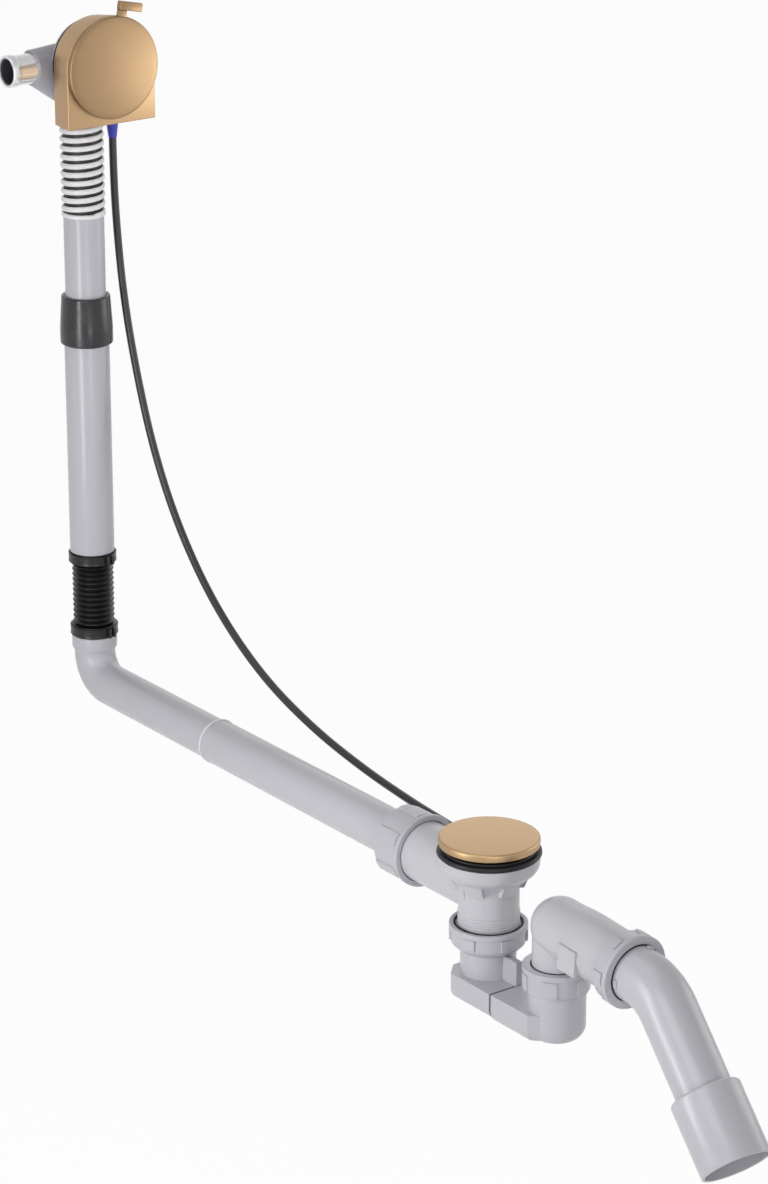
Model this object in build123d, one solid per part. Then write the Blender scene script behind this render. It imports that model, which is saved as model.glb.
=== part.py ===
from build123d import *
import math
import os

# Bath waste and overflow with a bath filler, a cable control and a low trap.
# Millimetres, +Z up. The origin is on the waste's axis, on the seat under the bath floor.
# +X runs from the overflow towards the drain outlet, and the pipes lie in the XZ plane.

# Layout
overflow_reach = 509.0
control_height = 474.0
drain_height = -28.0
leg_spacing = 77.0
outlet_height = -30.2
elbow_fall = 4.0
outlet_bend_angle = 41.0
outlet_turn = 6.0

# Fits
slide_room = 0.3
seat_room = 0.3
push_room = 0.1

# Waste body, gasket and flange
gasket_r = 37.4
gasket_thick = 4.0
gasket_taper = 1.4
gasket_bead = 3.0
rim_r = 36.0
rim_thick = 4.0
neck_r = 21.7
neck_wall = 3.1
neck_z = -30.0
neck_end = -64.0
neck_thread_r = 24.3
neck_thread_drop = 1.2
lug_count = 6
lug_width = 13.5
lug_turn = -3.0
lug_top_r = 30.0
lug_foot_r = 25.2
lug_height = 12.0
flange_r = 30.0
flange_thick = 2.5
barrel_r = 26.2
barrel_depth = 14.0
throat_r = 21.0
spoke_count = 3
spoke_width = 2.4
spoke_depth = 4.0
hub_wall = 2.0

# Plug
plug_r = 36.0
plug_thick = 5.4
plug_lift_gap = 1.4
plug_dome = 0.9
plug_wall = 2.4
plug_edge = 0.9
seal_r = 26.5
seal_thick = 2.1
stem_r = 6.0
stem_shoulder_r = 9.0
stem_screw_r = 2.8
stem_screw = 2.6
stem_end = -14.0
pin_r = 1.4
pin_head_r = 3.0
pin_head = 0.6
pin_end = -15.0

# Cable, its guide and its glands
cable_r = 3.0
core_room_r = 1.7
guide_r = 4.0
guide_top = 1.0
guide_bend = 12.0
guide_height = -30.0
guide_turn = 150.0
guide_reach = 54.5
guide_boss_r = 6.5
waste_gland_r = 5.4
waste_gland_tip_r = 3.8
waste_gland_long = 9.5
head_gland_r = 4.6
head_gland_tip_r = 3.2
head_gland_long = 22.0
head_gland_drop = 66.0
head_gland_side = 28.0
head_gland_boss_r = 6.4
cable_lead = 15.5
cable_fall = 438.0

# Union nuts
nut_wall = 2.8
nut_rib = 1.2
nut_rib_width = 9.5
nut_rib_count = 6
nut_ring = 4.0
nut_shoulder = 4.0
nut_taper = 4.0
nut_gap = 1.0
thread_room = 0.6

# Side branch and overflow pipe
branch_r = 22.5
branch_end = 95.0
branch_stop = 58.0
branch_nut_face = 73.0
branch_nut_long = 32.0
overflow_pipe_r = 17.2
overflow_pipe_wall = 1.8
overflow_pipe_start = 337.0
overflow_pipe_end = 60.0

# Riser elbow and bellows
elbow_pipe_r = 16.2
elbow_bore_r = 13.6
elbow_bend = 23.0
elbow_nose = 18.0
elbow_ring_r = 17.9
elbow_ring_low = -4.6
elbow_ring_high = 9.8
cuff_spigot_r = 16.4
cuff_wall = 1.3
cuff_long = 8.9
bellows_high = 70.6
bellows_ribs = 12
bellows_r = 16.3
bellows_valley_r = 13.7
bellows_wall = 1.2
clip_wall = 1.3
clip_height = 7.4
clip_ear_long = 7.0
clip_ear_wide = 3.0
clip_ear_turn = 10.0

# Telescopic riser and hose
lower_pipe_r = 17.5
lower_pipe_wall = 1.5
lower_pipe_top = 272.0
lower_spigot_wall = 1.6
upper_pipe_wall = 1.8
upper_pipe_top = 351.0
upper_pipe_end = 170.0
collar_low = 249.7
collar_high = 288.2
collar_r = 20.5
collar_top_r = 18.9
collar_foot_r = 19.4
hose_r = 14.5
hose_wall_thick = 2.0
hose_drop = 37.0
hose_plug_long = 20.0
spiral_pitch = 6.72
spiral_width = 4.2
spiral_proud = 2.3

# Overflow head
wall_gap = 19.5
overflow_seal_r = 33.5
overflow_seal_thick = 5.0
body_flange_r = 31.5
body_flange_thick = 4.0
body_barrel_r = 22.0
body_wall = 3.0
chamber_r = 14.2
chamber_drop = 3.0
chamber_depth = 34.0
neck_tube_r = 25.0
neck_tube_wall = 4.5
neck_front_wall = 3.0
neck_window = 28.0
spigot_long = 24.0
spigot_bore_r = 10.4
gland_arm_drop = 14.0
inlet_drop = 3.0
inlet_boss_r = 13.8
inlet_boss_end = 43.0
inlet_boss_root = 20.0
inlet_root_high = 23.0
inlet_root_wide = 13.5
inlet_root_drop = 7.0
nipple_thread_r = 12.3
nipple_neck_r = 11.6
nipple_bore_r = 10.2
nipple_end = 65.0
nipple_thread_long = 6.0
nipple_seat = 30.0
clamp_ring_r = 31.0
clamp_ring_thick = 5.0
cover_taper = 3.5
cover_drop = 44.0
cover_depth = 24.0
cover_wall = 2.4
cover_slot_wide = 56.0
cover_slot_deep = 12.0
cover_edge = 0.8
screw_r = 1.6
screw_head_r = 3.2
screw_long = 12.0
disc_r = 39.0
disc_thick = 5.2
disc_dome = 0.6
disc_boss_r = 7.0
disc_gap = 0.5
lever_turn = 12.0
lever_stem_wide = 7.6
lever_stem_thick = 3.0
lever_stem_high = 4.5
lever_root = 3.0
lever_bar_long = 20.0
lever_bar_high = 6.6
lever_bar_thick = 5.0
spindle_r = 4.0
spindle_hub_r = 7.0
spindle_hub_long = 4.0
clip_ring_r = 6.6
clip_ring_thick = 1.0
drum_r = 8.0
drum_groove = 1.5
drum_long = 10.0

# Trap
trap_pipe_r = 20.0
trap_wall = 2.4
inlet_nut_top = -56.0
inlet_nut_long = 18.0
inlet_nut_wall = 2.0
inlet_nut_turn = -9.0
trap_lip = 1.7
trap_lip_thick = 2.4
duct_top = -93.2
duct_bottom = -114.0
duct_half = 25.3
duct_end = -20.8
duct_corner = 10.2
duct_seam = 36.0
duct_groove = 0.6
duct_overlap = 10.0
duct_step = 0.6
duct_edge = 9.0
web_thick = 5.0
web_drop = 1.0
bowl_r = 20.6
bowl_bottom = -115.8
bowl_edge = 11.0
bowl_corner = 12.0
socket_wall = 1.9
trap_nut_top = -60.0
trap_nut_long = 17.0
trap_nut_turn = 9.0
trap_socket_top = -68.0

# Outlet elbow, bend and sleeve
elbow_leg_r = 17.8
elbow_depth = -88.0
elbow_ball_r = 20.5
leg_stop = 1.0
outlet_socket_start = 112.0
outlet_socket_end = 153.0
outlet_socket_stop = 127.0
outlet_nut_face = 160.0
outlet_nut_long = 14.0
outlet_nut_turn = 30.0
pad_from = 106.0
pad_wide = 18.0
pad_high = 19.0
pad_drop = 4.5
pad_thick = 1.4
bend_start = 130.0
bend_corner = 185.0
bend_r = 46.0
bend_lug_count = 3
bend_lug_turn = 99.0
bend_lug_long = 2.6
bend_lug_wide = 6.0
bend_lug_high = 2.4
bend_lug_gap = 2.0
sleeve_from = 76.5
sleeve_to = 130.5
sleeve_r = 25.0
sleeve_wall = 2.2
sleeve_stop = 104.5
sleeve_stop_thick = 2.0
sleeve_chamfer = 1.6

# Values that follow
riser_x = -overflow_reach
clip_room = (cuff_long - clip_height) / 2
bellows_low = elbow_ring_high + cuff_long
wall_x = riser_x + wall_gap
neck_bore_r = neck_r - neck_wall
plug_low = flange_thick + plug_lift_gap
plug_high = plug_low + plug_thick
seal_low = flange_thick + seat_room
seal_high = seal_low + seal_thick
upper_pipe_r = lower_pipe_r - lower_pipe_wall - slide_room
hose_top = control_height - hose_drop
chamber_low = control_height - chamber_depth
head_gland_end = control_height - head_gland_drop
cover_half = disc_r
cover_back_half = cover_half - cover_taper
cover_back = wall_x + seat_room
cover_front = cover_back + cover_depth
body_front = cover_front - cover_wall - push_room
disc_back = cover_front + disc_gap
disc_front = disc_back + disc_thick
chamber_rear = riser_x - chamber_r
inlet_height = control_height - inlet_drop
spigot_r = hose_r - hose_wall_thick - push_room
socket_r = trap_pipe_r + slide_room
socket_thread_r = socket_r + socket_wall
leg_socket_r = elbow_leg_r + slide_room
leg_thread_r = leg_socket_r + socket_wall
guide_way = (math.cos(math.radians(guide_turn)), math.sin(math.radians(guide_turn)))


def turned(outline):
    """Turn a closed outline of (radius, height) points about the Z axis."""
    return revolve(make_face(Plane.XZ * Polyline(*outline, close=True)), Axis.Z)


def rod(radius, low, high):
    return turned([(0, low), (radius, low), (radius, high), (0, high)])


def tube(outer, inner, low, high):
    return turned([(inner, low), (outer, low), (outer, high), (inner, high)])


def laid_x(shape, height):
    """Lay a piece that was turned about Z along X, so that its height becomes X."""
    return Pos(0, 0, height) * Rot(0, 90, 0) * shape


def on_riser(shape):
    return Pos(riser_x, 0, 0) * shape


def on_outlet_leg(shape):
    return Pos(leg_spacing, 0, 0) * shape


def on_limb(shape):
    """Move a piece laid along X at height 0 onto the falling limb of the outlet elbow."""
    return Pos(leg_spacing, 0, outlet_height) * Rot(0, elbow_fall, 0) * Pos(-leg_spacing, 0, 0) * shape


def on_control(shape):
    return laid_x(shape, control_height)


def on_guide(shape):
    """Lay a piece along the cable guide, so that its height is the reach from the waste's axis."""
    return Pos(0, 0, guide_height) * Rot(0, 0, guide_turn) * Rot(0, 90, 0) * shape


def along_inlet(shape):
    """Lay a piece along the inlet, so that its height is the distance towards -Y."""
    return Pos(riser_x, 0, inlet_height) * Rot(90, 0, 0) * shape


def pipe_on(path, outer, inner):
    """A pipe of one bore along a path."""
    mouth = Plane(origin=path @ 0, z_dir=path % 0)
    return sweep(mouth * (Circle(outer) - Circle(inner)), path=path)


def rod_on(path, radius):
    return sweep(Plane(origin=path @ 0, z_dir=path % 0) * Circle(radius), path=path)


def s_flank(start, end):
    """A smooth flank that leaves its start and reaches its end straight down."""
    return Spline(start, end, tangents=((0, -1), (0, -1)))


def funnel(top, shoulder, flank_end, bottom):
    """A solid funnel: a cylinder, an S-shaped flank and a neck, as (radius, height) points."""
    edges = [
        Line((0, top[1]), top),
        Line(top, shoulder),
        s_flank(shoulder, flank_end),
        Line(flank_end, bottom),
        Line(bottom, (0, bottom[1])),
        Line((0, bottom[1]), (0, top[1])),
    ]
    return revolve(make_face([Plane.XZ * edge for edge in edges]), Axis.Z)


def union_nut(length, thread_r, pipe_r, wall, ring_on_mouth):
    """A ribbed union nut: its closed end is at height 0 and its threaded mouth at its length."""
    body_r = thread_r + wall
    ring_r = body_r + nut_rib
    bore = [(pipe_r, 0), (pipe_r, nut_shoulder), (thread_r, nut_shoulder), (thread_r, length)]
    if ring_on_mouth:
        step = length - nut_ring
        skin = [(ring_r, length), (ring_r, step), (body_r, step), (body_r, nut_taper)]
        skin.append((max(body_r - nut_taper, pipe_r + wall / 2), 0))
        rib_low, rib_high = nut_taper, step
    else:
        skin = [(body_r, length), (body_r, nut_ring), (ring_r, nut_ring), (ring_r, 0)]
        rib_low, rib_high = nut_ring, length
    nut = turned(bore + skin)
    band = tube(ring_r - nut_rib / 4, body_r - wall / 4, rib_low, rib_high)
    bar = Box(ring_r, nut_rib_width, length, align=(Align.MIN, Align.CENTER, Align.MIN))
    blocks = [spot * bar for spot in PolarLocations(0, nut_rib_count)]
    return nut + [band & block for block in blocks]


def make_waste_gasket():
    bead_r = flange_r + slide_room
    return turned([
        (barrel_r + slide_room, -gasket_thick),
        (gasket_r - gasket_taper, -gasket_thick),
        (gasket_r, -gasket_thick + gasket_taper),
        (gasket_r - gasket_taper / 2, 0),
        (bead_r + gasket_bead, 0),
        (bead_r + gasket_bead, flange_thick / 2),
        (bead_r, flange_thick - seat_room),
        (bead_r, 0),
        (barrel_r + slide_room, 0),
    ])


def make_waste_body():
    rim_top = -gasket_thick
    body = funnel((rim_r, rim_top), (rim_r, rim_top - rim_thick), (neck_r, neck_z), (neck_r, neck_end))
    lug_low = neck_z + rim_thick / 2
    lug_high = lug_low + lug_height
    lug_cone = turned([(0, lug_low), (lug_foot_r, lug_low), (lug_top_r, lug_high), (0, lug_high)])
    bar = Box(rim_r, lug_width, lug_height, align=(Align.MIN, Align.CENTER, Align.MIN))
    for spot in PolarLocations(0, lug_count, start_angle=lug_turn):
        body += lug_cone & (spot * Pos(0, 0, lug_low) * bar)
    body += rod(neck_thread_r, neck_end, inlet_nut_top - neck_thread_drop)
    body += laid_x(rod(branch_r, -branch_end, 0), drain_height)
    body += on_guide(rod(guide_boss_r, 0, guide_reach))
    body -= on_guide(rod(waste_gland_r + slide_room, guide_reach, guide_reach + waste_gland_long))
    recess_r = barrel_r + slide_room
    recess_z = -barrel_depth - 1
    throat_z = neck_z - neck_wall
    bore_r = neck_bore_r
    body -= funnel((recess_r, rim_top), (recess_r, recess_z), (bore_r, throat_z), (bore_r, neck_end))
    pipe_bore_r = overflow_pipe_r - overflow_pipe_wall
    body -= laid_x(rod(pipe_bore_r, -branch_stop, 0), drain_height)
    body -= laid_x(rod(overflow_pipe_r + push_room, -branch_end, -branch_stop), drain_height)
    body -= on_guide(rod(guide_r + push_room, 0, guide_reach))
    return body


def make_waste_flange():
    flange = turned([
        (throat_r, -barrel_depth),
        (barrel_r, -barrel_depth),
        (barrel_r, 0),
        (flange_r, 0),
        (flange_r, flange_thick / 2),
        (flange_r - flange_thick / 2, flange_thick),
        (throat_r + flange_thick / 2, flange_thick),
        (throat_r, flange_thick / 2),
    ])
    hub_r = stem_r + slide_room
    hub_low = -barrel_depth / 2 - spoke_depth / 2
    flange += tube(hub_r + hub_wall, hub_r, hub_low, hub_low + spoke_depth)
    spoke_long = throat_r - hub_r - hub_wall / 2
    spoke = Box(spoke_long, spoke_width, spoke_depth, align=(Align.MIN, Align.CENTER, Align.MIN))
    for spot in PolarLocations(hub_r + hub_wall / 2, spoke_count):
        flange += spot * Pos(0, 0, hub_low) * spoke
    return flange


def make_plug_cap():
    rim = plug_r - plug_edge
    inside = plug_r - plug_wall
    roof = plug_high - plug_wall
    top = ThreePointArc((-rim, plug_high), (0, plug_high + plug_dome), (rim, plug_high))
    skin = split(top, bisect_by=Plane.YZ, keep=Keep.TOP)
    rest = Polyline(
        (rim, plug_high),
        (plug_r, plug_high - plug_edge),
        (plug_r, plug_low),
        (inside, plug_low),
        (inside, roof),
        (seal_r, roof),
        (seal_r, seal_high),
        (stem_screw_r + push_room, seal_high),
        (stem_screw_r + push_room, seal_high + stem_screw),
        (0, seal_high + stem_screw),
        (0, plug_high + plug_dome),
    )
    return revolve(make_face([Plane.XZ * skin, Plane.XZ * rest]), Axis.Z)


def make_plug_seal():
    return turned([
        (stem_shoulder_r + push_room, seal_low),
        (seal_r - seal_thick / 2, seal_low),
        (seal_r, seal_low + seal_thick / 2),
        (seal_r - seal_thick / 4, seal_high),
        (stem_shoulder_r + push_room, seal_high),
    ])


def make_plug_stem():
    bore_r = guide_r + slide_room
    roof = guide_top + seat_room + pin_head
    return turned([
        (bore_r, stem_end),
        (stem_r, stem_end),
        (stem_r, seal_low),
        (stem_shoulder_r, seal_low),
        (stem_shoulder_r, seal_high),
        (stem_screw_r, seal_high),
        (stem_screw_r, seal_high + stem_screw - push_room),
        (0, seal_high + stem_screw - push_room),
        (0, roof),
        (bore_r, roof),
    ])


def make_lift_pin():
    neck = guide_top + seat_room
    return turned([
        (0, pin_end),
        (pin_r, pin_end),
        (pin_r, neck),
        (pin_head_r, neck),
        (pin_head_r, neck + pin_head),
        (0, neck + pin_head),
    ])


def make_cable_guide():
    path = FilletPolyline(
        (guide_way[0] * guide_reach, guide_way[1] * guide_reach, guide_height),
        (0, 0, guide_height),
        (0, 0, guide_top),
        radius=guide_bend,
    )
    return pipe_on(path, guide_r, core_room_r)


def make_waste_gland():
    end = guide_reach + waste_gland_long
    collar = guide_reach + waste_gland_long / 3
    return on_guide(turned([
        (core_room_r, guide_reach),
        (waste_gland_r, guide_reach),
        (waste_gland_r, collar),
        (waste_gland_tip_r, end),
        (core_room_r, end),
    ]))


def make_branch_nut():
    nut = union_nut(branch_nut_long, branch_r + thread_room, overflow_pipe_r + thread_room, nut_wall, True)
    return laid_x(Pos(0, 0, -branch_nut_face - branch_nut_long) * nut, drain_height)


def make_branch_seal():
    low = -branch_nut_face - branch_nut_long + nut_shoulder
    return laid_x(tube(branch_r, overflow_pipe_r + push_room, low, -branch_end), drain_height)


def make_overflow_pipe():
    bore_r = overflow_pipe_r - overflow_pipe_wall
    return laid_x(tube(overflow_pipe_r, bore_r, -overflow_pipe_start, -overflow_pipe_end), drain_height)


def make_riser_elbow():
    path = FilletPolyline(
        (riser_x, 0, elbow_ring_low),
        (riser_x, 0, drain_height),
        (-overflow_pipe_start, 0, drain_height),
        radius=elbow_bend,
    )
    elbow = pipe_on(path, elbow_pipe_r, elbow_bore_r)
    ring_edge = (elbow_ring_r - elbow_pipe_r) * 2
    elbow += on_riser(turned([
        (elbow_bore_r, elbow_ring_low),
        (elbow_pipe_r, elbow_ring_low),
        (elbow_ring_r, elbow_ring_low + ring_edge),
        (elbow_ring_r, elbow_ring_high),
        (cuff_spigot_r, elbow_ring_high),
        (cuff_spigot_r, bellows_low),
        (elbow_bore_r, bellows_low),
    ]))
    nose_r = overflow_pipe_r - overflow_pipe_wall - push_room
    nose = tube(nose_r, elbow_bore_r, -overflow_pipe_start, -overflow_pipe_start + elbow_nose)
    return elbow + laid_x(nose, drain_height)


def make_bellows():
    cuff_r = cuff_spigot_r + cuff_wall
    inner_r = cuff_spigot_r + push_room
    pitch = (bellows_high - bellows_low) / bellows_ribs
    outside = [(cuff_r, bellows_low - cuff_long + push_room), (cuff_r, bellows_low)]
    inside = [(inner_r, bellows_low - cuff_long + push_room), (inner_r, bellows_low + push_room)]
    for rib in range(bellows_ribs):
        low = bellows_low + rib * pitch
        outside.append((bellows_valley_r, low + pitch * 0.1))
        outside.append((bellows_r, low + pitch * 0.55))
        inside.append((bellows_valley_r - bellows_wall, low + pitch * 0.1 + bellows_wall / 2))
        inside.append((bellows_r - bellows_wall, low + pitch * 0.55))
    outside.append((bellows_valley_r, bellows_high))
    outside.append((cuff_r, bellows_high))
    inside.append((bellows_valley_r - bellows_wall, bellows_high))
    inside.append((inner_r, bellows_high + bellows_wall))
    outside.append((cuff_r, bellows_high + cuff_long))
    inside.append((inner_r, bellows_high + cuff_long))
    return on_riser(turned(outside + inside[::-1]))


def make_clip(low):
    band_r = cuff_spigot_r + cuff_wall + push_room
    clip = tube(band_r + clip_wall, band_r, low, low + clip_height)
    ear = Box(clip_ear_wide, clip_ear_long, clip_height, align=(Align.MIN, Align.CENTER, Align.MIN))
    ear -= Pos(clip_ear_wide, 0, clip_height / 2) * Box(clip_ear_wide, clip_ear_long / 4, clip_height * 2)
    clip += Rot(0, 0, clip_ear_turn) * Pos(band_r + clip_wall / 2, 0, low) * ear
    return on_riser(clip)


def make_lower_pipe():
    bore_r = lower_pipe_r - lower_pipe_wall
    spigot_low = bellows_high + bellows_wall + push_room
    spigot_high = bellows_high + cuff_long + push_room
    spigot_bore = cuff_spigot_r - lower_spigot_wall
    return on_riser(turned([
        (spigot_bore, spigot_low),
        (cuff_spigot_r, spigot_low),
        (cuff_spigot_r, spigot_high),
        (lower_pipe_r, spigot_high),
        (lower_pipe_r, lower_pipe_top),
        (bore_r, lower_pipe_top),
        (bore_r, spigot_high + lower_spigot_wall),
        (spigot_bore, spigot_high + lower_spigot_wall),
    ]))


def make_upper_pipe():
    return on_riser(tube(upper_pipe_r, upper_pipe_r - upper_pipe_wall, upper_pipe_end, upper_pipe_top))


def make_slide_collar():
    seat_r = lower_pipe_r + push_room
    lip_r = upper_pipe_r + slide_room
    waist = collar_low + (collar_high - collar_low) * 0.35
    foot_edge = collar_r - collar_foot_r
    return on_riser(turned([
        (seat_r, collar_low),
        (collar_foot_r, collar_low),
        (collar_r, collar_low + foot_edge),
        (collar_r, waist),
        (collar_top_r, collar_high),
        (lip_r, collar_high),
        (lip_r, lower_pipe_top + push_room),
        (seat_r, lower_pipe_top + push_room),
    ]))


def make_hose_wall():
    plug_r_out = upper_pipe_r - upper_pipe_wall - push_room
    bore_r = hose_r - hose_wall_thick
    plug_low_z = upper_pipe_top - hose_plug_long
    plug_bore = plug_r_out - hose_wall_thick
    return on_riser(turned([
        (plug_bore, plug_low_z),
        (plug_r_out, plug_low_z),
        (plug_r_out, upper_pipe_top + push_room),
        (hose_r, upper_pipe_top + push_room),
        (hose_r, hose_top),
        (bore_r, hose_top),
        (bore_r, upper_pipe_top + hose_wall_thick),
        (plug_bore, upper_pipe_top),
    ]))


def make_hose_spiral():
    rib_r = hose_r + push_room + spiral_proud / 2
    rib_low = upper_pipe_top + push_room + spiral_width / 2
    turns = math.floor((hose_top - rib_low - spiral_width / 2) / spiral_pitch)
    path = Pos(0, 0, rib_low) * Helix(spiral_pitch, spiral_pitch * turns, rib_r)
    start = Plane(origin=path @ 0, x_dir=(1, 0, 0), z_dir=path % 0)
    section = start * Ellipse(spiral_proud / 2, spiral_width / 2)
    return on_riser(sweep(section, path=path, is_frenet=True))


def chamber(radius, low):
    """The domed chamber on the riser's axis, from a height up."""
    dome = control_height - chamber_drop
    return on_riser(rod(radius, low, dome) + Pos(0, 0, dome) * Sphere(radius))


def gland_arm(radius, low):
    """A round arm from the chamber out to the cable gland's axis and down to a height."""
    path = Polyline(
        (riser_x, 0, control_height - gland_arm_drop),
        (riser_x, head_gland_side, control_height - gland_arm_drop),
        (riser_x, head_gland_side, low),
    )
    corner = Pos(riser_x, head_gland_side, control_height - gland_arm_drop) * Sphere(radius)
    return sum((rod_on(Line(edge @ 0, edge @ 1), radius) for edge in path.edges()), corner)


def make_overflow_body():
    seal_back = wall_x - overflow_seal_thick
    flange_back = seal_back - body_flange_thick
    spigot_low = hose_top - spigot_long
    gland_top = head_gland_end + head_gland_long
    body = on_control(rod(body_flange_r, flange_back, seal_back))
    body += on_control(rod(body_barrel_r, riser_x, flange_back))
    body += on_control(rod(neck_tube_r, flange_back, body_front))
    body += chamber(chamber_r, chamber_low)
    body += on_riser(rod(spigot_r, spigot_low, control_height))
    mouth = Plane(origin=(riser_x, -inlet_boss_end, inlet_height), x_dir=(0, 0, 1), z_dir=(0, -1, 0))
    root_z = inlet_height - inlet_root_drop
    root = Plane(origin=(riser_x, -inlet_boss_root, root_z), x_dir=(0, 0, 1), z_dir=(0, -1, 0))
    body += loft([root * Ellipse(inlet_root_high, inlet_root_wide), mouth * Circle(inlet_boss_r)])
    body += along_inlet(rod(inlet_root_wide, 0, inlet_boss_root))
    body += gland_arm(head_gland_boss_r, gland_top)
    body -= on_control(rod(body_barrel_r - body_wall, riser_x, flange_back))
    body -= on_control(rod(neck_tube_r - neck_tube_wall, flange_back, body_front - neck_front_wall))
    body -= chamber(chamber_r - body_wall, chamber_low + body_wall)
    body -= on_riser(rod(spigot_bore_r, spigot_low, control_height))
    body -= along_inlet(rod(nipple_bore_r, 0, inlet_boss_end))
    body -= along_inlet(rod(nipple_neck_r + push_room, nipple_seat, inlet_boss_end))
    body -= gland_arm(core_room_r, gland_top)
    hub_back = chamber_rear + body_wall
    body += on_control(rod(spindle_hub_r, hub_back - body_wall / 2, hub_back + spindle_hub_long))
    body -= on_control(rod(spindle_r + slide_room, hub_back, body_front))
    window_long = body_front - neck_front_wall - wall_x - clamp_ring_thick * 1.5
    window = Box(window_long, neck_window, neck_tube_r, align=(Align.MAX, Align.CENTER, Align.MAX))
    body -= Pos(body_front - neck_front_wall, 0, control_height - neck_tube_r / 2) * window
    for side in (-1, 1):
        body -= screw_spot(side, rod(screw_r + push_room, body_front - screw_long, body_front))
    return body


def screw_spot(side, shape):
    """Put a piece that was turned about Z on one of the two cover screws, along X."""
    return on_control(Pos(0, side * (neck_tube_r - neck_tube_wall / 2), 0) * shape)


def make_inlet_nipple():
    thread_start = nipple_end - nipple_thread_long
    return along_inlet(turned([
        (nipple_bore_r, nipple_seat + push_room),
        (nipple_neck_r, nipple_seat + push_room),
        (nipple_neck_r, thread_start),
        (nipple_thread_r, thread_start),
        (nipple_thread_r, nipple_end),
        (nipple_bore_r, nipple_end),
    ]))


def make_overflow_seal():
    return on_control(tube(overflow_seal_r, neck_tube_r + push_room, wall_x - overflow_seal_thick, wall_x))


def make_clamp_ring():
    low = wall_x + seat_room
    ring = tube(clamp_ring_r, neck_tube_r + push_room, low, low + clamp_ring_thick)
    notch = Box(clamp_ring_thick, clamp_ring_thick, clamp_ring_thick * 3)
    for spot in PolarLocations(clamp_ring_r, 6):
        ring -= spot * Pos(0, 0, low) * notch
    return on_control(ring)


def cover_block(edge_in, back, front):
    """The cover's tapered block: a round top and a straight foot, some way in from its faces."""
    outlines = []
    for x, half in ((back, cover_back_half - edge_in), (front, cover_half - edge_in)):
        top = ThreePointArc((-half, 0), (0, half), (half, 0))
        foot = cover_drop - edge_in
        sides = Polyline((half, 0), (half, -foot), (-half, -foot), (-half, 0))
        outlines.append(Plane.YZ.offset(x) * Pos(0, control_height) * make_face([top, sides]))
    return loft(outlines)


def make_overflow_cover():
    cover = cover_block(0, cover_back, cover_front)
    cover = fillet(cover.faces().sort_by(Axis.X)[-1].edges(), cover_edge)
    cover -= cover_block(cover_wall, cover_back, cover_front - cover_wall)
    slot_x = cover_back + (cover_depth - cover_wall) / 2
    slot = Box(cover_slot_deep, cover_slot_wide, cover_wall * 4)
    cover -= Pos(slot_x, 0, control_height - cover_drop) * slot
    cover -= on_control(rod(disc_boss_r + slide_room, cover_front - cover_wall * 2, cover_front + 1))
    for side in (-1, 1):
        cover -= screw_spot(side, rod(screw_r + push_room, cover_front - cover_wall * 2, cover_front))
        head_low = cover_front - cover_wall / 2
        cover -= screw_spot(side, rod(screw_head_r + push_room, head_low, cover_front))
    return cover


def make_cover_screws():
    head_low = cover_front - cover_wall / 2
    screw = turned([
        (0, body_front - screw_long + 1),
        (screw_r, body_front - screw_long + 1),
        (screw_r, head_low),
        (screw_head_r, head_low),
        (screw_head_r, cover_front),
        (0, cover_front),
    ])
    return Compound([screw_spot(-1, screw), screw_spot(1, screw)])


def make_control_disc():
    edge = disc_dome * 2
    rim = disc_r - edge
    front = ThreePointArc((-rim, disc_front - disc_dome), (0, disc_front), (rim, disc_front - disc_dome))
    face = split(front, bisect_by=Plane.YZ, keep=Keep.TOP)
    bore_r = spindle_r + push_room
    boss_low = body_front + seat_room
    rest = Polyline(
        (rim, disc_front - disc_dome),
        (disc_r, disc_front - disc_dome - edge),
        (disc_r, disc_back),
        (disc_boss_r, disc_back),
        (disc_boss_r, boss_low),
        (bore_r, boss_low),
        (bore_r, disc_back + disc_thick / 2),
        (0, disc_back + disc_thick / 2),
        (0, disc_front),
    )
    disc = on_control(revolve(make_face([Plane.XZ * face, Plane.XZ * rest]), Axis.Z))
    slot_wide = lever_stem_wide + push_room * 2
    slot_thick = lever_stem_thick + push_room * 2
    slot = Box(slot_thick, slot_wide, lever_root * 2)
    return disc - on_lever(Pos(0, 0, disc_r - push_room) * slot)


def on_lever(shape):
    """Put a piece on the lever's spoke of the disc, with its height as the radius."""
    middle = disc_back + disc_thick / 2
    return Pos(middle, 0, control_height) * Rot(-lever_turn, 0, 0) * shape


def make_finger_lever():
    stem_low = disc_r - lever_root
    stem_high = disc_r + lever_stem_high
    upright = (Align.CENTER, Align.CENTER, Align.MIN)
    stem = Pos(0, 0, stem_low) * Box(lever_stem_thick, lever_stem_wide, stem_high - stem_low, align=upright)
    bar = Box(lever_bar_thick, lever_bar_long, lever_bar_high, align=upright)
    end_edges = bar.edges().filter_by(Axis.X).group_by(Axis.Y)[-1]
    bar = fillet(end_edges.sort_by(Axis.Z)[0:1], lever_bar_high / 3)
    bar_shift = (lever_bar_long - lever_stem_wide) / 2
    return on_lever(stem + Pos(0, bar_shift, stem_high) * bar)


def make_control_spindle():
    low = chamber_rear + body_wall + seat_room
    return on_control(rod(spindle_r, low, disc_back + disc_thick / 2 - push_room))


def make_spindle_clip():
    high = body_front - neck_front_wall - seat_room
    return on_control(tube(clip_ring_r, spindle_r + push_room, high - clip_ring_thick, high))


def make_cable_drum():
    middle = riser_x + drum_long / 2
    return on_control(turned([
        (spindle_r + push_room, riser_x),
        (drum_r, riser_x),
        (drum_r, middle - drum_groove),
        (drum_r - drum_groove, middle),
        (drum_r, middle + drum_groove),
        (drum_r, riser_x + drum_long),
        (spindle_r + push_room, riser_x + drum_long),
    ]))


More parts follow.
